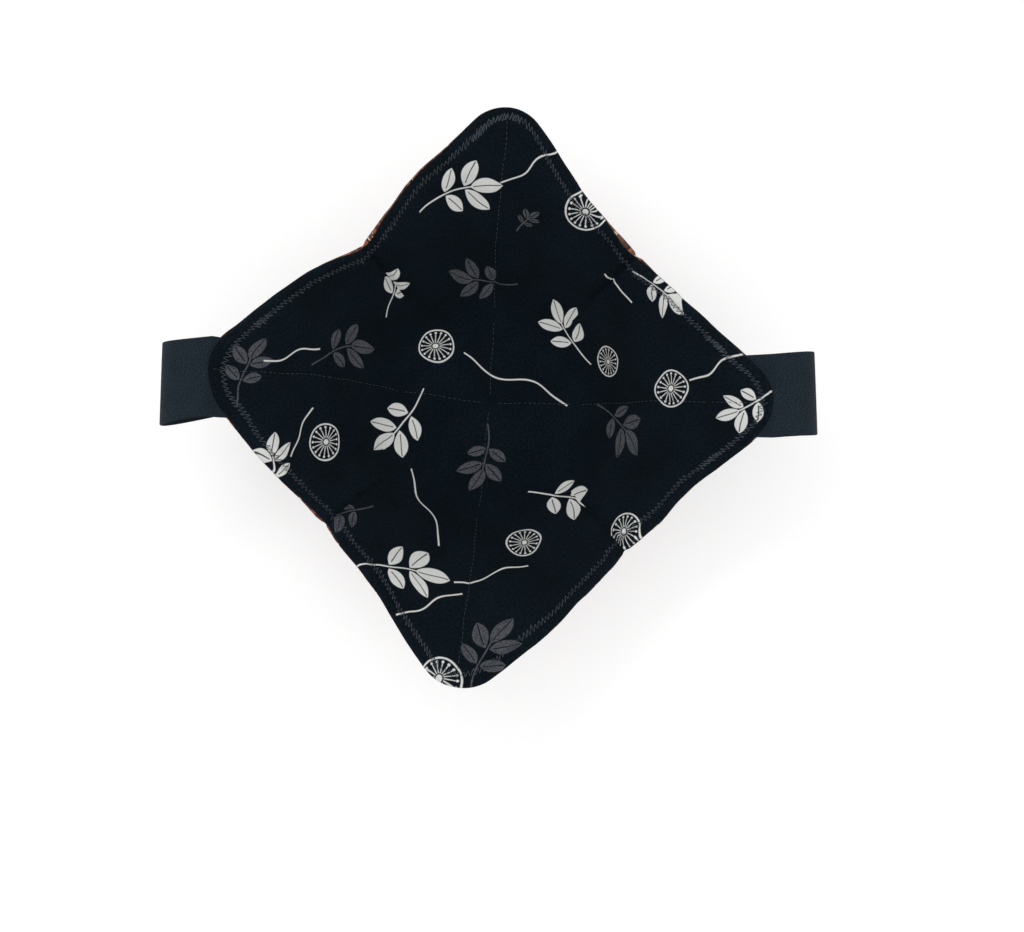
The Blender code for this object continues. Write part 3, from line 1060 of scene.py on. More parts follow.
@dataclass
class HandStrap:
    """A loop of woven elastic from a corner's seam round the hand to the wall below.

    The swing and the fold's turn are degrees from the corner's outward line.
    """

    name: str
    corner: Corner
    offset: float
    foot_offset: float
    reach: float
    swing: float
    fold_turn: float
    sewing: Sewing = Sewing()
    drop: float = 0.014
    foot: float = 0.062
    foot_length: float = 0.016
    seam_width_share: float = 0.99
    seam_rise_share: float = 0.4
    leaving_share: float = 0.6
    fold_share: float = 0.9
    under_share: float = 2.0
    thinnest_share: float = 0.04
    cut_thickness: float = 0.55
    cut_fade: float = 1.2 * MM
    tuck_rows: int = 16
    out_rows: int = 40
    back_rows: int = 70
    foot_rows: int = 16
    columns: int = 41
    selvage_columns: int = 4

    def lying(self, along: Array, across: Array, offset: float) -> Array:
        """Return points that lie on the cloth at flat coordinates on the corner's diagonal."""
        distance, azimuth = self.sewing.drape.from_flat(along, across, self.corner)
        return self.sewing.drape.point(distance, azimuth, np.full_like(distance, offset))

    def across(self) -> Array:
        """Return the columns across the strap, closer together at its round selvages.

        Returns:
            The distances from the strap's middle line.
        """
        half, selvage = self.sewing.strap_width / 2, self.sewing.strap_thickness / 2
        turn = np.linspace(0.0, QUARTER_TURN, self.selvage_columns + 1)[:-1]
        margin = -half + selvage * (1 - np.cos(turn))
        middle = np.linspace(-half + selvage, half - selvage, self.columns)
        return np.concatenate([margin, middle, -margin[::-1]])

    def carried(self, curve: Array, end_row: Array, end_point: Array, shares: Array) -> Array:
        """Return rows across the strap along a curve: flat at the fold, dished at its end.

        Args:
            curve: Points along the strap's middle, between the fold and an end.
            end_row: The row across the strap at that end, where it lies on the cloth.
            end_point: The middle of that row.
            shares: How much of the end's shape each row takes.

        Returns:
            The rows of points.
        """
        across = self.across()
        at_end = turned_level(end_point, 90.0)
        at_fold = turned_level(self.tip_point(), self.fold_turn + 90.0)
        dished = end_row - end_point - across[:, None] * at_end
        rows = []
        for centre, share in zip(curve, shares):
            sideways = unit(at_end * share + at_fold * (1 - share))
            rows.append(centre + across[:, None] * sideways + share * dished)
        return np.array(rows)

    def tip(self) -> float:
        """Return the distance along the cloth to the corner's tip."""
        return float(self.sewing.drape.edge(np.array([self.corner.value * QUARTER_TURN]), 0.0)[0])

    def tip_point(self) -> Array:
        """Return the point at the corner's tip where the strap's middle comes out."""
        return self.lying(np.array([self.tip()]), np.array([self.offset]), 0.0)[0]

    def surface(self) -> Array:
        """Return the grid of points along the middle of the strap.

        The tucked end follows the seam between the layers. One cubic curve
        carries the strap out, swung a little, and down to its fold, and another
        one back under the corner to its foot on the outside of the wall.

        Returns:
            Points, as rows along the strap by columns across it by 3.
        """
        drape, across = self.sewing.drape, self.across()
        sunk = -(drape.half_thickness + self.sewing.layer_gap + self.sewing.strap_thickness / 2)
        tuck = np.linspace(self.tip() - self.sewing.strap_tuck, self.tip(), self.tuck_rows)
        landed = np.linspace(self.foot + self.foot_length, self.foot, self.foot_rows)
        tuck_across = across * self.seam_width_share + self.offset
        foot_across = across + self.foot_offset
        tucked = self.lying(*np.meshgrid(tuck, tuck_across, indexing="ij"), 0.0)
        foot = self.lying(*np.meshgrid(landed, foot_across, indexing="ij"), sunk)
        middle = len(across) // 2
        tip_point, foot_point = tucked[-1, middle], foot[0, middle]
        swung = turned_level(tip_point, self.swing)
        rise = self.seam_rise_share * unit(tip_point - tucked[-2, middle])[2]
        leaving = unit(swung * math.sqrt(1 - rise ** 2) + np.array([0.0, 0.0, rise]))
        landing = unit(foot_point - foot[1, middle])
        down = np.array([0.0, 0.0, -self.drop])
        fold = tip_point + self.reach * swung + down
        rising = tip_point + leaving * self.reach * self.leaving_share
        settling = foot_point + landing * self.foot_length
        out = bezier(tip_point, rising, fold - down * self.fold_share, fold, self.out_rows)
        back = bezier(fold, fold + down * self.under_share, settling, foot_point, self.back_rows)[:-1]
        out_shares = 1 - ease((np.arange(self.out_rows) + 1) / self.out_rows)
        back_shares = ease((np.arange(self.back_rows) + 1) / self.back_rows)[:-1]
        out_rows = self.carried(out, tucked[-1], tip_point, out_shares)
        back_rows = self.carried(back, foot[0], foot_point, back_shares)
        return np.concatenate([tucked, out_rows, back_rows, foot])

    def length(self) -> float:
        """Return the strap's length along its middle."""
        return float(lengths_along(self.surface()[:, len(self.across()) // 2])[-1])

    def build(self, material: bpy.types.Material, slot: str, node: str) -> bpy.types.Object:
        """Build and dress the strap.

        Each cross-section is a thin band with half round selvages, and it is
        pressed a little thinner at its two cut ends.

        Args:
            material: The elastic's material.
            slot: The record's material slot.
            node: The CAD node that it replaces.

        Returns:
            The finished strap.
        """
        middle, across = self.surface(), self.across()
        half, selvage = self.sewing.strap_width / 2, self.sewing.strap_thickness / 2
        normal = np.cross(np.gradient(middle, axis=0), np.gradient(middle, across, axis=1))
        normal /= np.linalg.norm(normal, axis=-1, keepdims=True)
        past = np.maximum(np.abs(across) - (half - selvage), 0.0)
        rise = np.sqrt(np.maximum(selvage ** 2 - past ** 2, 0.0))
        rise = np.maximum(rise, self.thinnest_share * selvage)
        centre = middle[:, len(across) // 2]
        along = lengths_along(centre)
        from_end = np.minimum(along, along[-1] - along)
        press = self.cut_thickness + (1 - self.cut_thickness) * ease(from_end / self.cut_fade)
        lift = normal * (press[:, None] * rise)[..., None]
        rings = np.concatenate([middle + lift, (middle - lift)[:, ::-1]], axis=1)
        points, faces = close_rings(rings, centre[[0, -1]])
        crosswise = np.concatenate([across, across[::-1]])
        flat = np.stack(np.broadcast_arrays(crosswise, along[:, None]), axis=-1)
        flat = np.concatenate([flat.reshape(-1, 2), [[0.0, 0.0], [0.0, along[-1]]]])
        piece = mesh_piece(self.name, points, faces, at_corners(flat, faces))
        finish_piece(piece, material, slot, node)
        return piece


@dataclass
class StrapStitching:
    """The box of straight stitches that holds a strap's foot to the wall."""

    name: str
    strap: HandStrap
    stitch: Stitch = Stitch(0.17 * MM, 0.25 * MM, 0.10 * MM)
    margin: float = 2.4 * MM
    pitch: float = 2.5 * MM
    length: float = 1.9 * MM
    points: int = 6

    def build(self, material: bpy.types.Material, slot: str) -> bpy.types.Object:
        """Build the four runs of stitches, a margin inside the foot's outline.

        Args:
            material: The thread's material.
            slot: The record's material slot.

        Returns:
            The finished piece.
        """
        strap, sewing, drape = self.strap, self.strap.sewing, self.strap.sewing.drape
        half = sewing.strap_width / 2 - self.margin
        low, high = strap.foot + self.margin, strap.foot + strap.foot_length - self.margin
        face = drape.half_thickness + sewing.layer_gap + sewing.strap_thickness
        shares = np.linspace(0.0, 1.0, self.points)
        corners = np.array([(low, -half), (low, half), (high, half), (high, -half)])
        runs = []
        for start, end in zip(corners, np.roll(corners, -1, axis=0)):
            side = np.linalg.norm(end - start)
            count = int(side / self.pitch)
            spare = (side - (count - 1) * self.pitch - self.length) / 2
            first = spare + self.pitch * np.arange(count)
            share = (first[:, None] + self.length * shares) / side
            along, across = np.moveaxis(start + (end - start) * share[..., None], -1, 0)
            distance, azimuth = drape.from_flat(along, across + strap.foot_offset, strap.corner)
            points = drape.point(distance, azimuth, -(face + self.stitch.heights(shares)))
            runs.append(self.stitch.sweep(points, -drape.frame_at(distance, azimuth)[1]))
        return thread_piece(self.name, runs, material, slot)


class Wire:
    """A value in a node tree: reckoning with it adds Math nodes."""

    def __init__(self, sheet: "NodeSheet", socket: bpy.types.NodeSocket) -> None:
        """Keep the sheet and the socket that the value comes from."""
        self.sheet, self.socket = sheet, socket

    def __add__(self, other: Link) -> "Wire":
        """Return the sum."""
        return self.sheet.math("ADD", self, other)

    def __sub__(self, other: Link) -> "Wire":
        """Return the difference."""
        return self.sheet.math("SUBTRACT", self, other)

    def __rsub__(self, other: float) -> "Wire":
        """Return a number less this value."""
        return self.sheet.math("SUBTRACT", other, self)

    def __mul__(self, other: Link) -> "Wire":
        """Return the product."""
        return self.sheet.math("MULTIPLY", self, other)

    def __truediv__(self, other: Link) -> "Wire":
        """Return the quotient."""
        return self.sheet.math("DIVIDE", self, other)

    def __rtruediv__(self, other: float) -> "Wire":
        """Return a number divided by this value."""
        return self.sheet.math("DIVIDE", other, self)

    def __lt__(self, other: Link) -> "Wire":
        """Return 1 where this value is less and 0 elsewhere."""
        return self.sheet.math("LESS_THAN", self, other)

    def __gt__(self, other: Link) -> "Wire":
        """Return 1 where this value is greater and 0 elsewhere."""
        return self.sheet.math("GREATER_THAN", self, other)

    def __abs__(self) -> "Wire":
        """Return the value without its sign."""
        return self.sheet.math("ABSOLUTE", self)

    def sine(self) -> "Wire":
        """Return the sine of the value."""
        return self.sheet.math("SINE", self)


class NodeSheet:
    """A short way to lay shader nodes: each method adds one node and returns its value."""

    COLUMNS = 12
    ACROSS, DOWN = 220, -190

    def __init__(self, tree: bpy.types.NodeTree) -> None:
        """Start on a node tree."""
        self.tree = tree

    def feed(self, node: bpy.types.Node, socket: Union[int, str], value: Link) -> None:
        """Link a wire to an input, or set the input's own value.

        Args:
            node: The node.
            socket: Number or name of the input.
            value: A wire, a number or a vector.
        """
        if isinstance(value, Wire):
            self.tree.links.new(value.socket, node.inputs[socket])
        else:
            node.inputs[socket].default_value = value

    def add(self, kind: str, feeds: dict, **settings: object) -> bpy.types.Node:
        """Add a node.

        Args:
            kind: The node's type, without the prefix that all shader nodes have.
            feeds: What each input, by its number or name, is fed.
            settings: The node's properties.

        Returns:
            The node.
        """
        node = self.tree.nodes.new("ShaderNode" + kind)
        for name, value in settings.items():
            setattr(node, name, value)
        for socket, value in feeds.items():
            self.feed(node, socket, value)
        row, column = divmod(len(self.tree.nodes), self.COLUMNS)
        node.location = (self.ACROSS * column, self.DOWN * row)
        return node

    def one(self, kind: str, feeds: dict, out: Union[int, str] = 0, **settings: object) -> Wire:
        """Add a node and return one of its outputs."""
        return Wire(self, self.add(kind, feeds, **settings).outputs[out])

    def every(self, kind: str, feeds: dict, **settings: object) -> dict[str, Wire]:
        """Add a node and return all of its outputs by name."""
        return {out.name: Wire(self, out) for out in self.add(kind, feeds, **settings).outputs}

    def math(self, operation: str, *values: Link, clamp: bool = False) -> Wire:
        """Add a Math node."""
        return self.one("Math", dict(enumerate(values)), operation=operation, use_clamp=clamp)

    def chain(self, operation: str, values: list[Wire]) -> Wire:
        """Join many values by one operation of the Math node, two at a time."""
        return reduce(lambda first, second: self.math(operation, first, second), values)

    def vector(self, operation: str, *values: Link) -> Wire:
        """Add a Vector Math node."""
        return self.one("VectorMath", dict(enumerate(values)), "Vector", operation=operation)

    def scaled(self, vector: Link, scale: Link) -> Wire:
        """Multiply a vector or a colour by a number."""
        return self.one("VectorMath", {0: vector, "Scale": scale}, "Vector", operation="SCALE")

    def length(self, vector: Link) -> Wire:
        """Return a vector's length."""
        return self.one("VectorMath", {0: vector}, "Value", operation="LENGTH")

    def parts(self, vector: Link) -> tuple[Wire, Wire]:
        """Split a vector and return its x and y."""
        outputs = self.add("SeparateXYZ", {0: vector}).outputs
        return Wire(self, outputs[0]), Wire(self, outputs[1])

    def join(self, x: Link, y: Link) -> Wire:
        """Join two numbers into a level vector."""
        return self.one("CombineXYZ", {0: x, 1: y})

    def noise(
        self, vector: Link, scale: float, detail: float = 2.0, rough: float = 0.5, out: str = "Fac"
    ) -> Wire:
        """Add a Noise Texture node."""
        feeds = {"Vector": vector, "Scale": scale, "Detail": detail, "Roughness": rough}
        return self.one("TexNoise", feeds, out)

    def span(self, value: Link, low: float, high: float, start: Link = 0.0, stop: Link = 1.0) -> Wire:
        """Map a range to another one, held at its ends."""
        return self.one("MapRange", dict(enumerate((value, low, high, start, stop))), clamp=True)

    def blend(self, share: Link, first: Link, second: Link) -> Wire:
        """Mix two colours by a share."""
        return self.one("Mix", {0: share, 6: first, 7: second}, 2, data_type="RGBA")

    def choose(self, share: Link, first: Link, second: Link) -> Wire:
        """Mix two vectors by a share."""
        return self.one("Mix", {0: share, 4: first, 5: second}, 1, data_type="VECTOR")

    def group(self, tree: bpy.types.NodeTree, **feeds: Link) -> dict[str, Wire]:
        """Place a node group, feed its inputs by name and return its outputs."""
        return self.every("Group", feeds, node_tree=tree)


class SocketKind(Enum):
    """The kinds of socket that the shared groups have."""

    NUMBER = "NodeSocketFloat"
    VECTOR = "NodeSocketVector"


def shared_group(name: str, inputs: dict[str, SocketKind], draw: Callable) -> bpy.types.NodeTree:
    """Make a shared shader node group whose outputs are all numbers.

    Args:
        name: The group's name.
        inputs: Kind of each named input.
        draw: Lays the nodes on a sheet, from the inputs' wires, and returns the
            outputs by name.

    Returns:
        The group's node tree.
    """
    tree = bpy.data.node_groups.new(name, "ShaderNodeTree")
    sheet = NodeSheet(tree)
    for label, kind in inputs.items():
        tree.interface.new_socket(label, in_out="INPUT", socket_type=kind.value)
    enter = tree.nodes.new("NodeGroupInput")
    drawn = draw(sheet, *(Wire(sheet, enter.outputs[label]) for label in inputs))
    for label in drawn:
        tree.interface.new_socket(label, in_out="OUTPUT", socket_type=SocketKind.NUMBER.value)
    leave = tree.nodes.new("NodeGroupOutput")
    for label, value in drawn.items():
        sheet.feed(leave, label, value)
    return tree


@dataclass(frozen=True)
class Leaf:
    """A pointed leaf on a stem: where it starts and stops along its axis, and its half width."""

    start: float
    stop: float
    width: float

    def outside(self, sheet: NodeSheet, x: Wire, y: Wire) -> Wire:
        """Return how far a point lies outside the leaf, negative inside it.

        The leaf is what two equal circles have in common. Folding y makes them
        one circle, whose centre lies across the leaf's axis.

        Args:
            sheet: The sheet of the group.
            x: Coordinate along the leaf.
            y: Coordinate across it.

        Returns:
            The distance, in the same unit.
        """
        half = (self.stop - self.start) / 2
        radius = (half * half + self.width * self.width) / (2 * self.width)
        along = x - (self.start + self.stop) / 2
        return sheet.length(sheet.join(along, abs(y) + (radius - self.width))) - radius


@dataclass(frozen=True)
class Motif:
    """One printed shape: its middle on the cloth in millimetres, its turn and its size."""

    x: float
    y: float
    turn: float
    size: float

    @property
    def place(self) -> tuple[float, float, float]:
        """Return the middle as a vector."""
        return (self.x, self.y, 0.0)

    @property
    def pose(self) -> tuple[float, float, float]:
        """Return the turn back to the motif's own axes, in radians, and its size."""
        return (math.radians(-self.turn), self.size, 0.0)

    def reach(self, sheet: NodeSheet, cloth: Wire) -> Wire:
        """Return the distance from the motif in units of its size."""
        return sheet.length(sheet.vector("SUBTRACT", cloth, self.place)) / self.size


def nearest_motif(sheet: NodeSheet, cloth: Wire, motifs: tuple[Motif, ...]) -> dict[str, Link]:
    """Find the motif that lies nearest for its size, and look from it.

    A chain of choices keeps the nearest motif so far, so that one group draws a
    shape wherever it is printed.

    Args:
        sheet: The sheet of the material.
        cloth: Coordinates on the cloth in millimetres.
        motifs: Every place where the shape is printed.

    Returns:
        Coordinates about the motif in units of its size, and its size, by the
        names of the shapes' inputs.
    """
    place, pose = motifs[0].place, motifs[0].pose
    least = motifs[0].reach(sheet, cloth) if len(motifs) > 1 else None
    for motif in motifs[1:]:
        reach = motif.reach(sheet, cloth)
        closer = reach < least
        least = sheet.math("MINIMUM", reach, least)
        place = sheet.choose(closer, place, motif.place)
        pose = sheet.choose(closer, pose, motif.pose)
    turn, size = sheet.parts(pose)
    about = {"Vector": sheet.vector("SUBTRACT", cloth, place), "Angle": turn}
    turned = sheet.one("VectorRotate", about, rotation_type="Z_AXIS")
    return {"Local": sheet.scaled(turned, 1.0 / size), "Size": size}


class PrintShapes:
    """The shared groups of the weave and of the printed shapes.

    A shape is drawn on coordinates about its middle in units of its size, and
    the size in millimetres keeps its lines and edges as wide on every motif.
    """

    EDGE = 0.16
    STEM_START, STEM_BEND, STEM_HALF_LENGTH, STEM_MIDDLE = 0.34, 0.14, 0.78, 0.35
    STEM_WIDTH, VEIN_WIDTH, STRAND_WIDTH = 0.36, 0.24, 0.40
    END_LEAF, END_VEIN = Leaf(0.38, 1.26, 0.21), 0.46
    SIDE_LEAVES = ((0.16, 52.0, Leaf(0.07, 0.90, 0.195)), (-0.36, 58.0, Leaf(0.07, 0.74, 0.17)))
    SIDE_VEIN, FAR_OFF, VEIN_MARGIN = 0.17, 9.0, -0.03
    SPOKES, RING_RADIUS, RING_WIDTH, SPOKE_WIDTH = 17, 0.96, 0.042, 0.022
    SPOKE_MIDDLE, SPOKE_HALF_LENGTH = 0.47, 0.25
    SEED_AT, SEED_RADIUS, CENTRE_RADIUS = 0.79, 0.062, 0.15
    WAVES = ((2.6, 0.12), (6.1, 0.035))
    SLUB_STRETCH, SLUB_SCALE = (0.5, 3.0, 1.0), 1.1

    def __init__(self) -> None:
        """Build every group once."""
        cloth = {"Cloth": SocketKind.VECTOR, "Pitch": SocketKind.NUMBER}
        about = {"Local": SocketKind.VECTOR, "Size": SocketKind.NUMBER}
        self.weave = shared_group("plain_weave", cloth, self.draw_weave)
        self.spray = shared_group("leaf_spray", about, self.draw_spray)
        self.seed_head = shared_group("seed_head", about, self.draw_seed_head)
        self.tendril = shared_group("tendril", about, self.draw_tendril)

    def draw_weave(self, sheet: NodeSheet, cloth: Wire, pitch: Wire) -> dict[str, Wire]:
        """Draw plain weave: at each crossing the warp or the weft lies on top, by turns.

        Each thread's section is the absolute sine of its cross coordinate. The
        sign of the product of both sines says which thread is on top.

        Args:
            sheet: The sheet of the group.
            cloth: Coordinates on the cloth in millimetres.
            pitch: The threads' distance in millimetres.

        Returns:
            The height of the weave and the unevenness of its threads.
        """
        x, y = sheet.parts(sheet.scaled(cloth, math.pi / pitch))
        across, along = x.sine(), y.sine()
        over = across * along > 0.0
        height = abs(across) * over + abs(along) * (1.0 - over)
        slub = sheet.noise(sheet.vector("MULTIPLY", cloth, self.SLUB_STRETCH), self.SLUB_SCALE)
        return {"Height": height, "Slub": slub}

    def inked(self, sheet: NodeSheet, size: Wire, outside: Wire) -> Wire:
        """Return 1 inside a shape and 0 outside, over a soft edge a fixed width wide."""
        return sheet.span(outside * size, self.EDGE, -self.EDGE)

    def draw_spray(self, sheet: NodeSheet, local: Wire, size: Wire) -> dict[str, Wire]:
        """Draw a leafy sprig: one end leaf, two pairs of side leaves and a bent stem.

        The side leaves are drawn once, on coordinates folded across the stem
        and turned, and the least distance to any leaf or the stem is inked.

        Args:
            sheet: The sheet of the group.
            local: Coordinates about the shape's middle, in units of its size.
            size: The size in millimetres.

        Returns:
            The leaves with their stem, and the veins that are left blank.
        """
        x, y = sheet.parts(local)
        x = x + self.STEM_START
        y = y + x * x * self.STEM_BEND
        folded = abs(y)
        shapes = [self.END_LEAF.outside(sheet, x, y)]
        veins = [folded + (x < self.END_VEIN) * self.FAR_OFF]
        for start, degrees, leaf in self.SIDE_LEAVES:
            cosine, sine = math.cos(math.radians(degrees)), math.sin(math.radians(degrees))
            along = x - start
            turned_x = along * cosine + folded * sine
            turned_y = folded * cosine - along * sine
            shapes.append(leaf.outside(sheet, turned_x, turned_y))
            veins.append(abs(turned_y) + (turned_x < self.SIDE_VEIN) * self.FAR_OFF)
        stem = folded - self.STEM_WIDTH / size
        beyond = abs(x + self.STEM_MIDDLE) - self.STEM_HALF_LENGTH
        shapes.append(sheet.math("MAXIMUM", stem, beyond))
        nearest = sheet.chain("MINIMUM", shapes)
        vein = sheet.chain("MINIMUM", veins) - self.VEIN_WIDTH / size
        blank = self.inked(sheet, size, vein) * (nearest < self.VEIN_MARGIN)
        return {"Leaves": self.inked(sheet, size, nearest), "Veins": blank}

    def draw_seed_head(self, sheet: NodeSheet, local: Wire, size: Wire) -> dict[str, Wire]:
        """Draw a round seed head: a ring, spokes with a seed at each end, and a centre.

        The angle is folded into one of equal sectors, so that one spoke and one
        seed are drawn for all.

        Args:
            sheet: The sheet of the group.
            local: Coordinates about the shape's middle, in units of its size.
            size: The size in millimetres.

        Returns:
            The lines of the shape.
        """
        x, y = sheet.parts(local)
        out = sheet.length(local)
        half_sector = math.pi / self.SPOKES
        folded = sheet.math("WRAP", sheet.math("ARCTAN2", y, x), half_sector, -half_sector)
        aside = abs(folded) * out
        ring = abs(out - self.RING_RADIUS) - self.RING_WIDTH
        too_far = abs(out - self.SPOKE_MIDDLE) - self.SPOKE_HALF_LENGTH
        spoke = sheet.math("MAXIMUM", aside - self.SPOKE_WIDTH, too_far)
        seed = sheet.length(sheet.join(out - self.SEED_AT, aside)) - self.SEED_RADIUS
        nearest = sheet.chain("MINIMUM", [ring, spoke, seed, out - self.CENTRE_RADIUS])
        return {"Lines": self.inked(sheet, size, nearest)}

    def draw_tendril(self, sheet: NodeSheet, local: Wire, size: Wire) -> dict[str, Wire]:
        """Draw a thin strand with a gentle wave: a band about a sum of two sines.

        Args:
            sheet: The sheet of the group.
            local: Coordinates about the shape's middle, in units of its size.
            size: The size in millimetres.

        Returns:
            The lines of the shape.
        """
        x, y = sheet.parts(local)
        slow, quick = ((x * rate).sine() * height for rate, height in self.WAVES)
        line = abs(y - (slow + quick)) - self.STRAND_WIDTH / size
        nearest = sheet.math("MAXIMUM", line, abs(x) - 1.0)
        return {"Lines": self.inked(sheet, size, nearest)}


def new_material(name: str, **plain: Link) -> tuple[bpy.types.Material, NodeSheet, bpy.types.Node]:
    """Start a material.

    Args:
        name: The material's name.
        plain: Values of the shader that are the same all over, whose names have
            underscores for spaces here.

    Returns:
        The material, its node sheet and its Principled shader.
    """
    material = bpy.data.materials.new(name)
    material.use_nodes = True
    shader = material.node_tree.nodes["Principled BSDF"]
    for label, value in plain.items():
        shader.inputs[label.replace("_", " ")].default_value = value
    return material, NodeSheet(material.node_tree), shader


@dataclass(frozen=True)
class Relief:
    """How far a pattern stands out in a surface's shading, in metres, and how strongly."""

    depth: float
    strength: float

    def dress(
        self, sheet: NodeSheet, shader: bpy.types.Node, colour: Wire, roughness: Wire, height: Wire
    ) -> None:
        """Feed a shader its colour, its roughness and the relief of a height.

        Args:
            sheet: The sheet of the material.
            shader: The Principled shader.
            colour: The surface's colour.
            roughness: The surface's roughness.
            height: The pattern's height.
        """
        bump = sheet.one("Bump", {"Height": height, "Distance": self.depth, "Strength": self.strength})
        for label, value in (("Base Color", colour), ("Roughness", roughness), ("Normal", bump)):
            sheet.feed(shader, label, value)


def cloth_millimetres(sheet: NodeSheet) -> Wire:
    """Return the piece's flat cloth coordinates in millimetres."""
    return sheet.scaled(sheet.one("UVMap", {}, uv_map="cloth"), 1000.0)


@dataclass(frozen=True)
class PrintCotton:
    """Plain woven quilting cotton, on which each kind has its own print."""

    shapes: PrintShapes
    name: ClassVar[str]
    plain: ClassVar[dict[str, float]]
    roughness: ClassVar[Span]
    relief: ClassVar[Relief] = Relief(0.06 * MM, 0.35)
    thread: float = 0.38

    def paint(self, sheet: NodeSheet, cloth: Wire, slub: Wire) -> Wire:
        """Return the colour of the print."""
        raise NotImplementedError

    def build(self) -> bpy.types.Material:
        """Return the material: the print on the weave.

        Returns:
            The finished material.
        """
        material, sheet, shader = new_material(self.name, **self.plain)
        cloth = cloth_millimetres(sheet)
        weave = sheet.group(self.shapes.weave, Cloth=cloth, Pitch=self.thread)
        colour = self.paint(sheet, cloth, weave["Slub"])
        roughness = sheet.span(weave["Slub"], 0.3, 0.7, *self.roughness)
        self.relief.dress(sheet, shader, colour, roughness, weave["Height"])
        return material


@dataclass(frozen=True)
class LiningCotton(PrintCotton):
    """Black quilting cotton, printed with white and grey sprigs, seed heads and tendrils."""

    name = "black_print_cotton"
    plain = {"Specular_IOR_Level": 0.05, "Sheen_Weight": 0.015, "Sheen_Roughness": 0.5}
    roughness = (0.86, 0.92)
    ground: Colour = (0.0026, 0.0056, 0.0086, 1.0)
    light: float = 1.5
    white: Colour = (0.70, 0.71, 0.69, 1.0)
    grey: Colour = (0.078, 0.083, 0.095, 1.0)
    mottle: Span = (0.34, 0.66, 0.55, 1.45)
    flecks: Span = (0.0, 0.07, 0.30, 1.15)
    inking: Span = (0.3, 0.7, 0.93, 1.03)
    shake: float = 2.6
    white_sprays: tuple[Motif, ...] = (
        Motif(-17, 121, 18, 19), Motif(110, 55, -42, 15), Motif(146, -4, 208, 14),
        Motif(-124, -42, 100, 14), Motif(-27, -104, 8, 19), Motif(38, 42, 118, 18),
        Motif(-46, -22, 236, 19), Motif(48, -52, -24, 18), Motif(-62, 62, 78, 16),
    )
    grey_sprays: tuple[Motif, ...] = (
        Motif(-140, 5, 74, 15), Motif(16, 106, 52, 7), Motif(-70, -88, 212, 14),
        Motif(13, -138, 66, 17), Motif(-12, 66, 172, 17), Motif(78, -14, 322, 17),
        Motif(-84, 18, 22, 17), Motif(0, -32, 262, 15),
    )
    seed_heads: tuple[Motif, ...] = (
        Motif(45, 115, 10, 10.5), Motif(108, 6.5, 4, 9.5), Motif(-7, -157, 0, 10),
        Motif(-30, 26, 15, 9.5), Motif(66, 22, 7, 8.5), Motif(-92, -34, 12, 9.5),
        Motif(24, -78, 3, 9), Motif(92, -66, 9, 9.5),
    )
    tendrils: tuple[Motif, ...] = (
        Motif(14, 133, 30, 17), Motif(134, 17, 19, 17), Motif(-118, 10, 12, 15),
        Motif(-108, -29, 62, 14), Motif(10, -100, 17, 18), Motif(-17, -121, 28, 17),
        Motif(12, 12, 152, 30), Motif(-26, -62, 108, 24), Motif(74, 66, 128, 20),
    )

    def paint(self, sheet: NodeSheet, cloth: Wire, slub: Wire) -> Wire:
        """Paint the ground, then grey shapes, then white ones over them.

        Args:
            sheet: The sheet of the material.
            cloth: Coordinates on the cloth in millimetres.
            slub: Unevenness of the threads, from 0 to 1.

        Returns:
            The colour.
        """
        lighter = tuple(self.light * x for x in self.ground[:3]) + (1.0,)
        colour = sheet.blend(sheet.span(sheet.noise(cloth, 0.035, 3.0), 0.35, 0.65), self.ground, lighter)
        colour = sheet.scaled(colour, sheet.span(sheet.noise(cloth, 0.9), *self.mottle))
        worms = abs(sheet.noise(cloth, 1.1, 1.0) - 0.5)
        flecked = sheet.scaled(self.grey[:3], sheet.span(worms, *self.flecks))
        shaky = sheet.vector("SUBTRACT", sheet.noise(cloth, 0.075, 0.0, out="Color"), (0.5, 0.5, 0.0))
        shaken = sheet.vector("ADD", cloth, sheet.scaled(shaky, self.shake))
        drawn = sheet.vector("MULTIPLY", shaken, (1.0, 1.0, 0.0))
        spray = sheet.group(self.shapes.spray, **nearest_motif(sheet, drawn, self.grey_sprays))
        colour = sheet.blend(spray["Leaves"], colour, flecked)
        colour = sheet.blend(spray["Veins"], colour, self.ground)
        spray = sheet.group(self.shapes.spray, **nearest_motif(sheet, drawn, self.white_sprays))
        seeds = sheet.group(self.shapes.seed_head, **nearest_motif(sheet, drawn, self.seed_heads))
        inked = [spray["Leaves"], seeds["Lines"]]
        for tendril in self.tendrils:
            strand = sheet.group(self.shapes.tendril, **nearest_motif(sheet, drawn, (tendril,)))
            inked.append(strand["Lines"])
        ink = sheet.scaled(self.white[:3], sheet.span(slub, *self.inking))
        colour = sheet.blend(sheet.chain("MAXIMUM", inked), colour, ink)
        return sheet.blend(spray["Veins"], colour, self.ground)


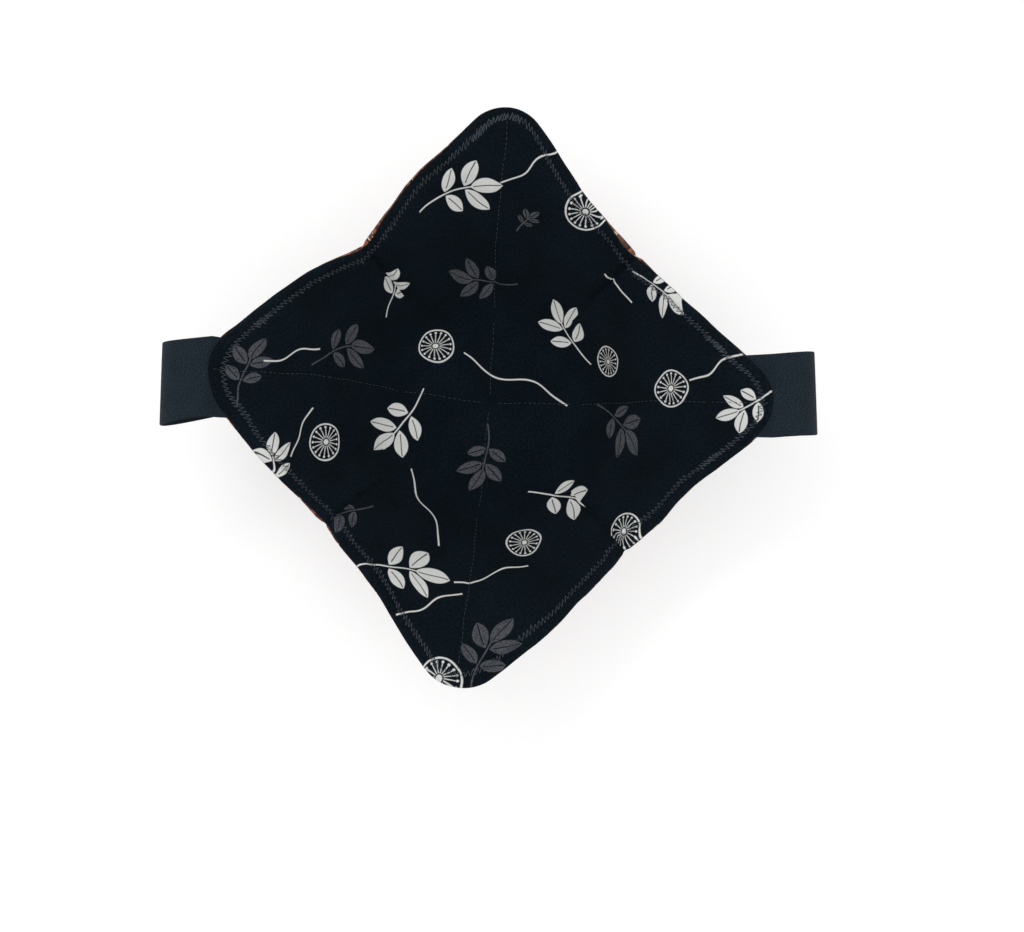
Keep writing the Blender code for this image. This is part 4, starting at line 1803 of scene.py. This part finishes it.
@dataclass(frozen=True)
class OutsideCotton(PrintCotton):
    """Quilting cotton with a mottled all-over print in browns, rust, cream and black."""

    name = "brown_print_cotton"
    plain = {"Specular_IOR_Level": 0.25, "Sheen_Weight": 0.05}
    roughness = (0.84, 0.90)
    maroon: Colour = (0.068, 0.018, 0.016, 1.0)
    brown: Colour = (0.135, 0.062, 0.042, 1.0)
    rust: Colour = (0.310, 0.105, 0.050, 1.0)
    cream: Colour = (0.620, 0.500, 0.360, 1.0)
    dark: Colour = (0.022, 0.011, 0.011, 1.0)
    warping: float = 11.0
    cell_scale: float = 0.40
    petal_edge: Span = (0.52, 0.40)
    gathering: Span = (0.40, 0.60, 0.90, 0.60)
    dark_share: float = 0.22
    rim_at: float = 0.50
    rim: Span = (0.035, 0.015, 0.0, 0.7)

    def paint(self, sheet: NodeSheet, cloth: Wire, slub: Wire) -> Wire:
        """Paint small cell shapes in three colours over a soft brown ground.

        Args:
            sheet: The sheet of the material.
            cloth: Coordinates on the cloth in millimetres.
            slub: Unevenness of the threads, which this print doesn't show.

        Returns:
            The colour.
        """
        warp = sheet.noise(cloth, 0.16, 3.0, out="Color")
        bent = sheet.vector("ADD", cloth, sheet.scaled(warp, self.warping))
        wide = sheet.noise(bent, 0.07, 3.0, 0.55)
        narrow = sheet.noise(bent, 0.30, 4.0, 0.6)
        feeds = {"Vector": bent, "Scale": self.cell_scale}
        cells = sheet.every("TexVoronoi", feeds, feature="F1", distance="EUCLIDEAN")
        petal = sheet.span(cells["Distance"], *self.petal_edge)
        chance = sheet.parts(cells["Color"])[0]
        colour = sheet.blend(sheet.span(wide, 0.42, 0.58), self.maroon, self.brown)
        colour = sheet.blend(sheet.span(narrow, 0.52, 0.60), colour, self.rust)
        creamy = petal * (chance > sheet.span(wide, *self.gathering))
        colour = sheet.blend(creamy, colour, self.cream)
        colour = sheet.blend(petal * (chance < self.dark_share), colour, self.dark)
        rim = sheet.span(abs(cells["Distance"] - self.rim_at), *self.rim)
        return sheet.blend(rim, colour, self.maroon)


@dataclass(frozen=True)
class StrapElastic:
    """Black woven elastic: ribs along the tape and fine picks across it."""

    colour: Colour = (0.0090, 0.0152, 0.0215, 1.0)
    worn: Colour = (0.0165, 0.0262, 0.0350, 1.0)
    rib: float = 1.05
    pick: float = 0.62
    rib_share: float = 0.6
    soft_wear: Span = (0.3, 0.7, 0.15, 0.6)
    height_wear: Span = (0.2, 1.0, -0.15, 0.25)
    fleck_wear: Span = (0.3, 0.7, -0.32, 0.32)
    fleck_light: Span = (0.35, 0.65, 0.7, 1.3)
    roughness: Span = (0.3, 0.7, 0.80, 0.90)
    relief: Relief = Relief(0.14 * MM, 0.6)

    def build(self) -> bpy.types.Material:
        """Return the material, on the strap's own coordinates across and along it.

        Returns:
            The finished material.
        """
        material, sheet, shader = new_material("black_elastic", Specular_IOR_Level=0.08, Sheen_Weight=0.02)
        spot = cloth_millimetres(sheet)
        x, y = sheet.parts(spot)
        rib = abs((x * (math.pi / self.rib)).sine())
        shift = sheet.math("FLOOR", x / self.rib) * (self.pick / 2)
        pick = abs(((y + shift) * (math.pi / self.pick)).sine())
        height = rib * self.rib_share + pick * (1 - self.rib_share)
        soft, fleck = sheet.noise(spot, 0.09, 3.0), sheet.noise(spot, 1.5)
        worn = sheet.span(soft, *self.soft_wear) + sheet.span(height, *self.height_wear)
        worn = sheet.math("ADD", worn, sheet.span(fleck, *self.fleck_wear), clamp=True)
        colour = sheet.blend(worn, self.colour, self.worn)
        colour = sheet.scaled(colour, sheet.span(fleck, *self.fleck_light))
        self.relief.dress(sheet, shader, colour, sheet.span(fleck, *self.roughness), height)
        return material


@dataclass(frozen=True)
class BattingCotton:
    """Undyed cotton batting: matted fibres with a few darker flecks of seed."""

    light: Colour = (0.80, 0.76, 0.67, 1.0)
    shade: Colour = (0.62, 0.57, 0.47, 1.0)
    fleck: Colour = (0.22, 0.15, 0.09, 1.0)
    stretch: tuple[float, float, float] = (1.0, 0.35, 1.0)
    relief: Relief = Relief(0.3 * MM, 0.7)

    def build(self) -> bpy.types.Material:
        """Return the material, on the piece's object coordinates in metres.

        Returns:
            The finished material.
        """
        material, sheet, shader = new_material("cotton_batting")
        spot = sheet.one("TexCoord", {}, "Object")
        fibre = sheet.noise(sheet.vector("MULTIPLY", spot, self.stretch), 900.0, 4.0, 0.7)
        tuft, seeds = sheet.noise(spot, 160.0, 3.0), sheet.noise(spot, 420.0, 1.0)
        colour = sheet.blend(sheet.span(tuft, 0.35, 0.65), self.shade, self.light)
        colour = sheet.blend(sheet.span(seeds, 0.74, 0.78), colour, self.fleck)
        self.relief.dress(sheet, shader, colour, sheet.span(fibre, 0.3, 0.7, 0.9, 1.0), fibre)
        return material


@dataclass(frozen=True)
class Thread:
    """Twisted sewing thread in one colour."""

    name: str
    colour: Colour
    twist: float = 0.75
    slant: float = 1.9
    # How dark the painted shade is, as a share of the thread's colour.
    dark_share: float = 0.22
    # Painted shade: how much of the thread's colour is left in the grooves between the plies, from 0.35
    # there to 1 on their tops.
    ply_painted_shade: Span = (0.0, 0.8, 0.35, 1.0)
    fuzz_light: Span = (0.3, 0.7, 0.75, 1.0)
    # Painted light and shade: how much of the thread's colour each stroke keeps, as if some strokes caught
    # the light and others turned from it.
    stroke_painted_light: Span = (0.40, 0.60, 0.12, 1.0)
    relief: Relief = Relief(0.04 * MM, 0.5)

    def build(self) -> bpy.types.Material:
        """Return the material: slanting plies, with painted light on their tops and painted shade between
        them, and painted light and shade from stroke to stroke.

        Returns:
            The finished material.
        """
        material, sheet, shader = new_material(self.name, Sheen_Weight=0.1)
        along, around = sheet.parts(cloth_millimetres(sheet))
        slant = along / self.twist + around * self.slant
        ply = abs((slant * FULL_TURN).sine())
        # Painted shade: a darker copy of the thread's colour, laid in the grooves between the plies and on
        # the strokes that are painted as turned from the light.
        dark = tuple(self.dark_share * x for x in self.colour[:3]) + (1.0,)
        fuzz = sheet.noise(sheet.join(along, around), 0.7)
        # Painted light and shade that changes from stroke to stroke along the thread.
        stroke_lighting = sheet.noise(sheet.join(along, 0.0), 0.26, 1.0)
        share = sheet.span(ply, *self.ply_painted_shade) * sheet.span(fuzz, *self.fuzz_light)
        share = share * sheet.span(stroke_lighting, *self.stroke_painted_light)
        colour = sheet.blend(share, dark, self.colour)
        self.relief.dress(sheet, shader, colour, sheet.span(fuzz, 0.3, 0.7, 0.5, 0.7), ply)
        return material


@dataclass(frozen=True)
class Studio:
    """The pale floor, the soft light and the camera that looks straight down."""

    pixel: float = 0.46 * MM
    image: tuple[int, int] = (1024, 932)
    rim_height: float = 0.066
    distance: float = 0.65
    turn: float = 4.75
    middle_of_cozy: tuple[float, float] = (-0.0113, 0.0313)
    sensor: float = 36.0
    nearest: float = 0.01
    floor_size: float = 6.0
    floor_height: float = -0.2 * MM
    floor_colour: Colour = (0.86, 0.86, 0.86, 1.0)
    seen_floor_colour: Colour = (0.60, 0.60, 0.60, 1.0)
    seen_floor_glow: float = 0.5
    white: Colour = (1.0, 1.0, 1.0, 1.0)
    sky: float = 0.85
    lamps: tuple[tuple, ...] = (
        ("key_lamp", (-0.7, 0.9, 1.5), 1.2, 16.0),
        ("fill_lamp", (0.9, -0.8, 1.4), 1.4, 7.0),
    )

    def seen(self, sheet: NodeSheet) -> Wire:
        """Return 1 for rays that come from the camera, or from it by gloss or glass.

        Args:
            sheet: The sheet of the material or the world.

        Returns:
            1 or 0.
        """
        path = sheet.every("LightPath", {})
        direct = path["Is Camera Ray"] + path["Is Glossy Ray"]
        return sheet.math("ADD", direct, path["Is Transmission Ray"], clamp=True)

    def floor(self) -> None:
        """Lay the pale floor just below the cozy, white to the camera."""
        corners = np.array([(-1.0, -1.0, 0.0), (1.0, -1.0, 0.0), (1.0, 1.0, 0.0), (-1.0, 1.0, 0.0)])
        corners = corners * self.floor_size / 2 + (0.0, 0.0, self.floor_height)
        floor = mesh_piece("floor", corners, [np.array([[0, 1, 2, 3]])])
        material, sheet, shader = new_material(
            "pale_floor", Emission_Color=self.white, Roughness=0.9, Specular_IOR_Level=0.1
        )
        seen = self.seen(sheet)
        sheet.feed(shader, "Base Color", sheet.blend(seen, self.floor_colour, self.seen_floor_colour))
        sheet.feed(shader, "Emission Strength", seen * self.seen_floor_glow)
        floor.data.materials.append(material)

    def lamp(self, name: str, place: tuple[float, ...], size: float, power: float) -> None:
        """Hang one square area lamp that faces the origin.

        Args:
            name: The lamp's name.
            place: Where it hangs.
            size: Its side.
            power: Its power in watts.
        """
        light = bpy.data.lights.new(name, "AREA")
        light.shape = "SQUARE"
        light.size = size
        light.energy = power
        lamp = bpy.data.objects.new(name, light)
        bpy.context.collection.objects.link(lamp)
        lamp.location = place
        down = -unit(np.array(place))
        lamp.rotation_euler = (math.acos(-down[2]), 0.0, math.atan2(down[0], -down[1]))

    def light(self) -> None:
        """Set a plain white world and two large soft lamps."""
        world = bpy.data.worlds.new("soft_world")
        world.use_nodes = True
        background = world.node_tree.nodes["Background"]
        background.inputs["Color"].default_value = self.white
        sheet = NodeSheet(world.node_tree)
        sheet.feed(background, "Strength", sheet.span(self.seen(sheet), 0.0, 1.0, self.sky, 1.0))
        bpy.context.scene.world = world
        for lamp in self.lamps:
            self.lamp(*lamp)

    def camera(self) -> None:
        """Set the camera over the cozy, at the photograph's framing and turn."""
        data = bpy.data.cameras.new("camera")
        data.sensor_width = self.sensor
        data.lens = self.sensor * self.distance / (self.image[0] * self.pixel)
        data.clip_start = self.nearest
        camera = bpy.data.objects.new("camera", data)
        bpy.context.collection.objects.link(camera)
        angle = math.radians(self.turn)
        x, y = self.middle_of_cozy
        across = -(x * math.cos(angle) - y * math.sin(angle))
        along = -(x * math.sin(angle) + y * math.cos(angle))
        camera.location = (across, along, self.rim_height + self.distance)
        camera.rotation_euler = (0.0, 0.0, angle)
        bpy.context.scene.camera = camera

    def build(self) -> None:
        """Set up the whole studio."""
        self.floor()
        self.light()
        self.camera()
        bpy.context.scene.view_settings.view_transform = "Standard"


def main() -> None:
    """Build the cozy from the inside out, sew it, and set it in the studio."""
    logging.basicConfig(level=logging.INFO, format="%(name)s %(message)s")
    shapes = PrintShapes()
    lining_cotton = LiningCotton(shapes).build()
    outside_cotton = OutsideCotton(shapes).build()
    batting = BattingCotton().build()
    elastic = StrapElastic().build()
    thread = Thread("grey_blue_thread", (0.062, 0.086, 0.118, 1.0)).build()

    BattingLayer("lining_batting_layer", Side.LINING).build(batting, "batting", "lining_batting")
    BattingLayer("outer_batting_layer", Side.OUTSIDE).build(batting, "batting", "outer_batting")
    lining = ClothPanel("lining_cloth", Side.LINING).build(lining_cotton, "lining_cotton", "lining_panel")
    outside = ClothPanel("outer_cloth", Side.OUTSIDE).build(outside_cotton, "outer_cotton", "outer_panel")
    threads = {Side.LINING: [], Side.OUTSIDE: []}
    for side, word in ((Side.LINING, "lining"), (Side.OUTSIDE, "outer")):
        slot = f"{word}_cotton"
        threads[side].append(Topstitch(f"{word}_topstitch", side).build(thread, slot))
        threads[side].append(Quilting(f"{word}_quilting", side).build(thread, slot))
    right = HandStrap("right_strap_loop", Corner.RIGHT, 0.0031, 0.0023, 0.0205, 4.1, 2.1)
    left = HandStrap("left_strap_loop", Corner.LEFT, 0.0036, -0.0110, 0.0228, 12.0, 2.4)
    for strap, word in ((right, "right"), (left, "left")):
        piece = strap.build(elastic, "strap_elastic", f"{word}_hand_strap")
        box = StrapStitching(f"{word}_strap_stitching", strap).build(thread, "strap_elastic")
        flat = (strap.sewing.strap_width, strap.length())
        LOG.info("%s is %.0f mm long", piece.name, strap.length() / MM)
    Studio().build()


if __name__ == "__main__":
    main()
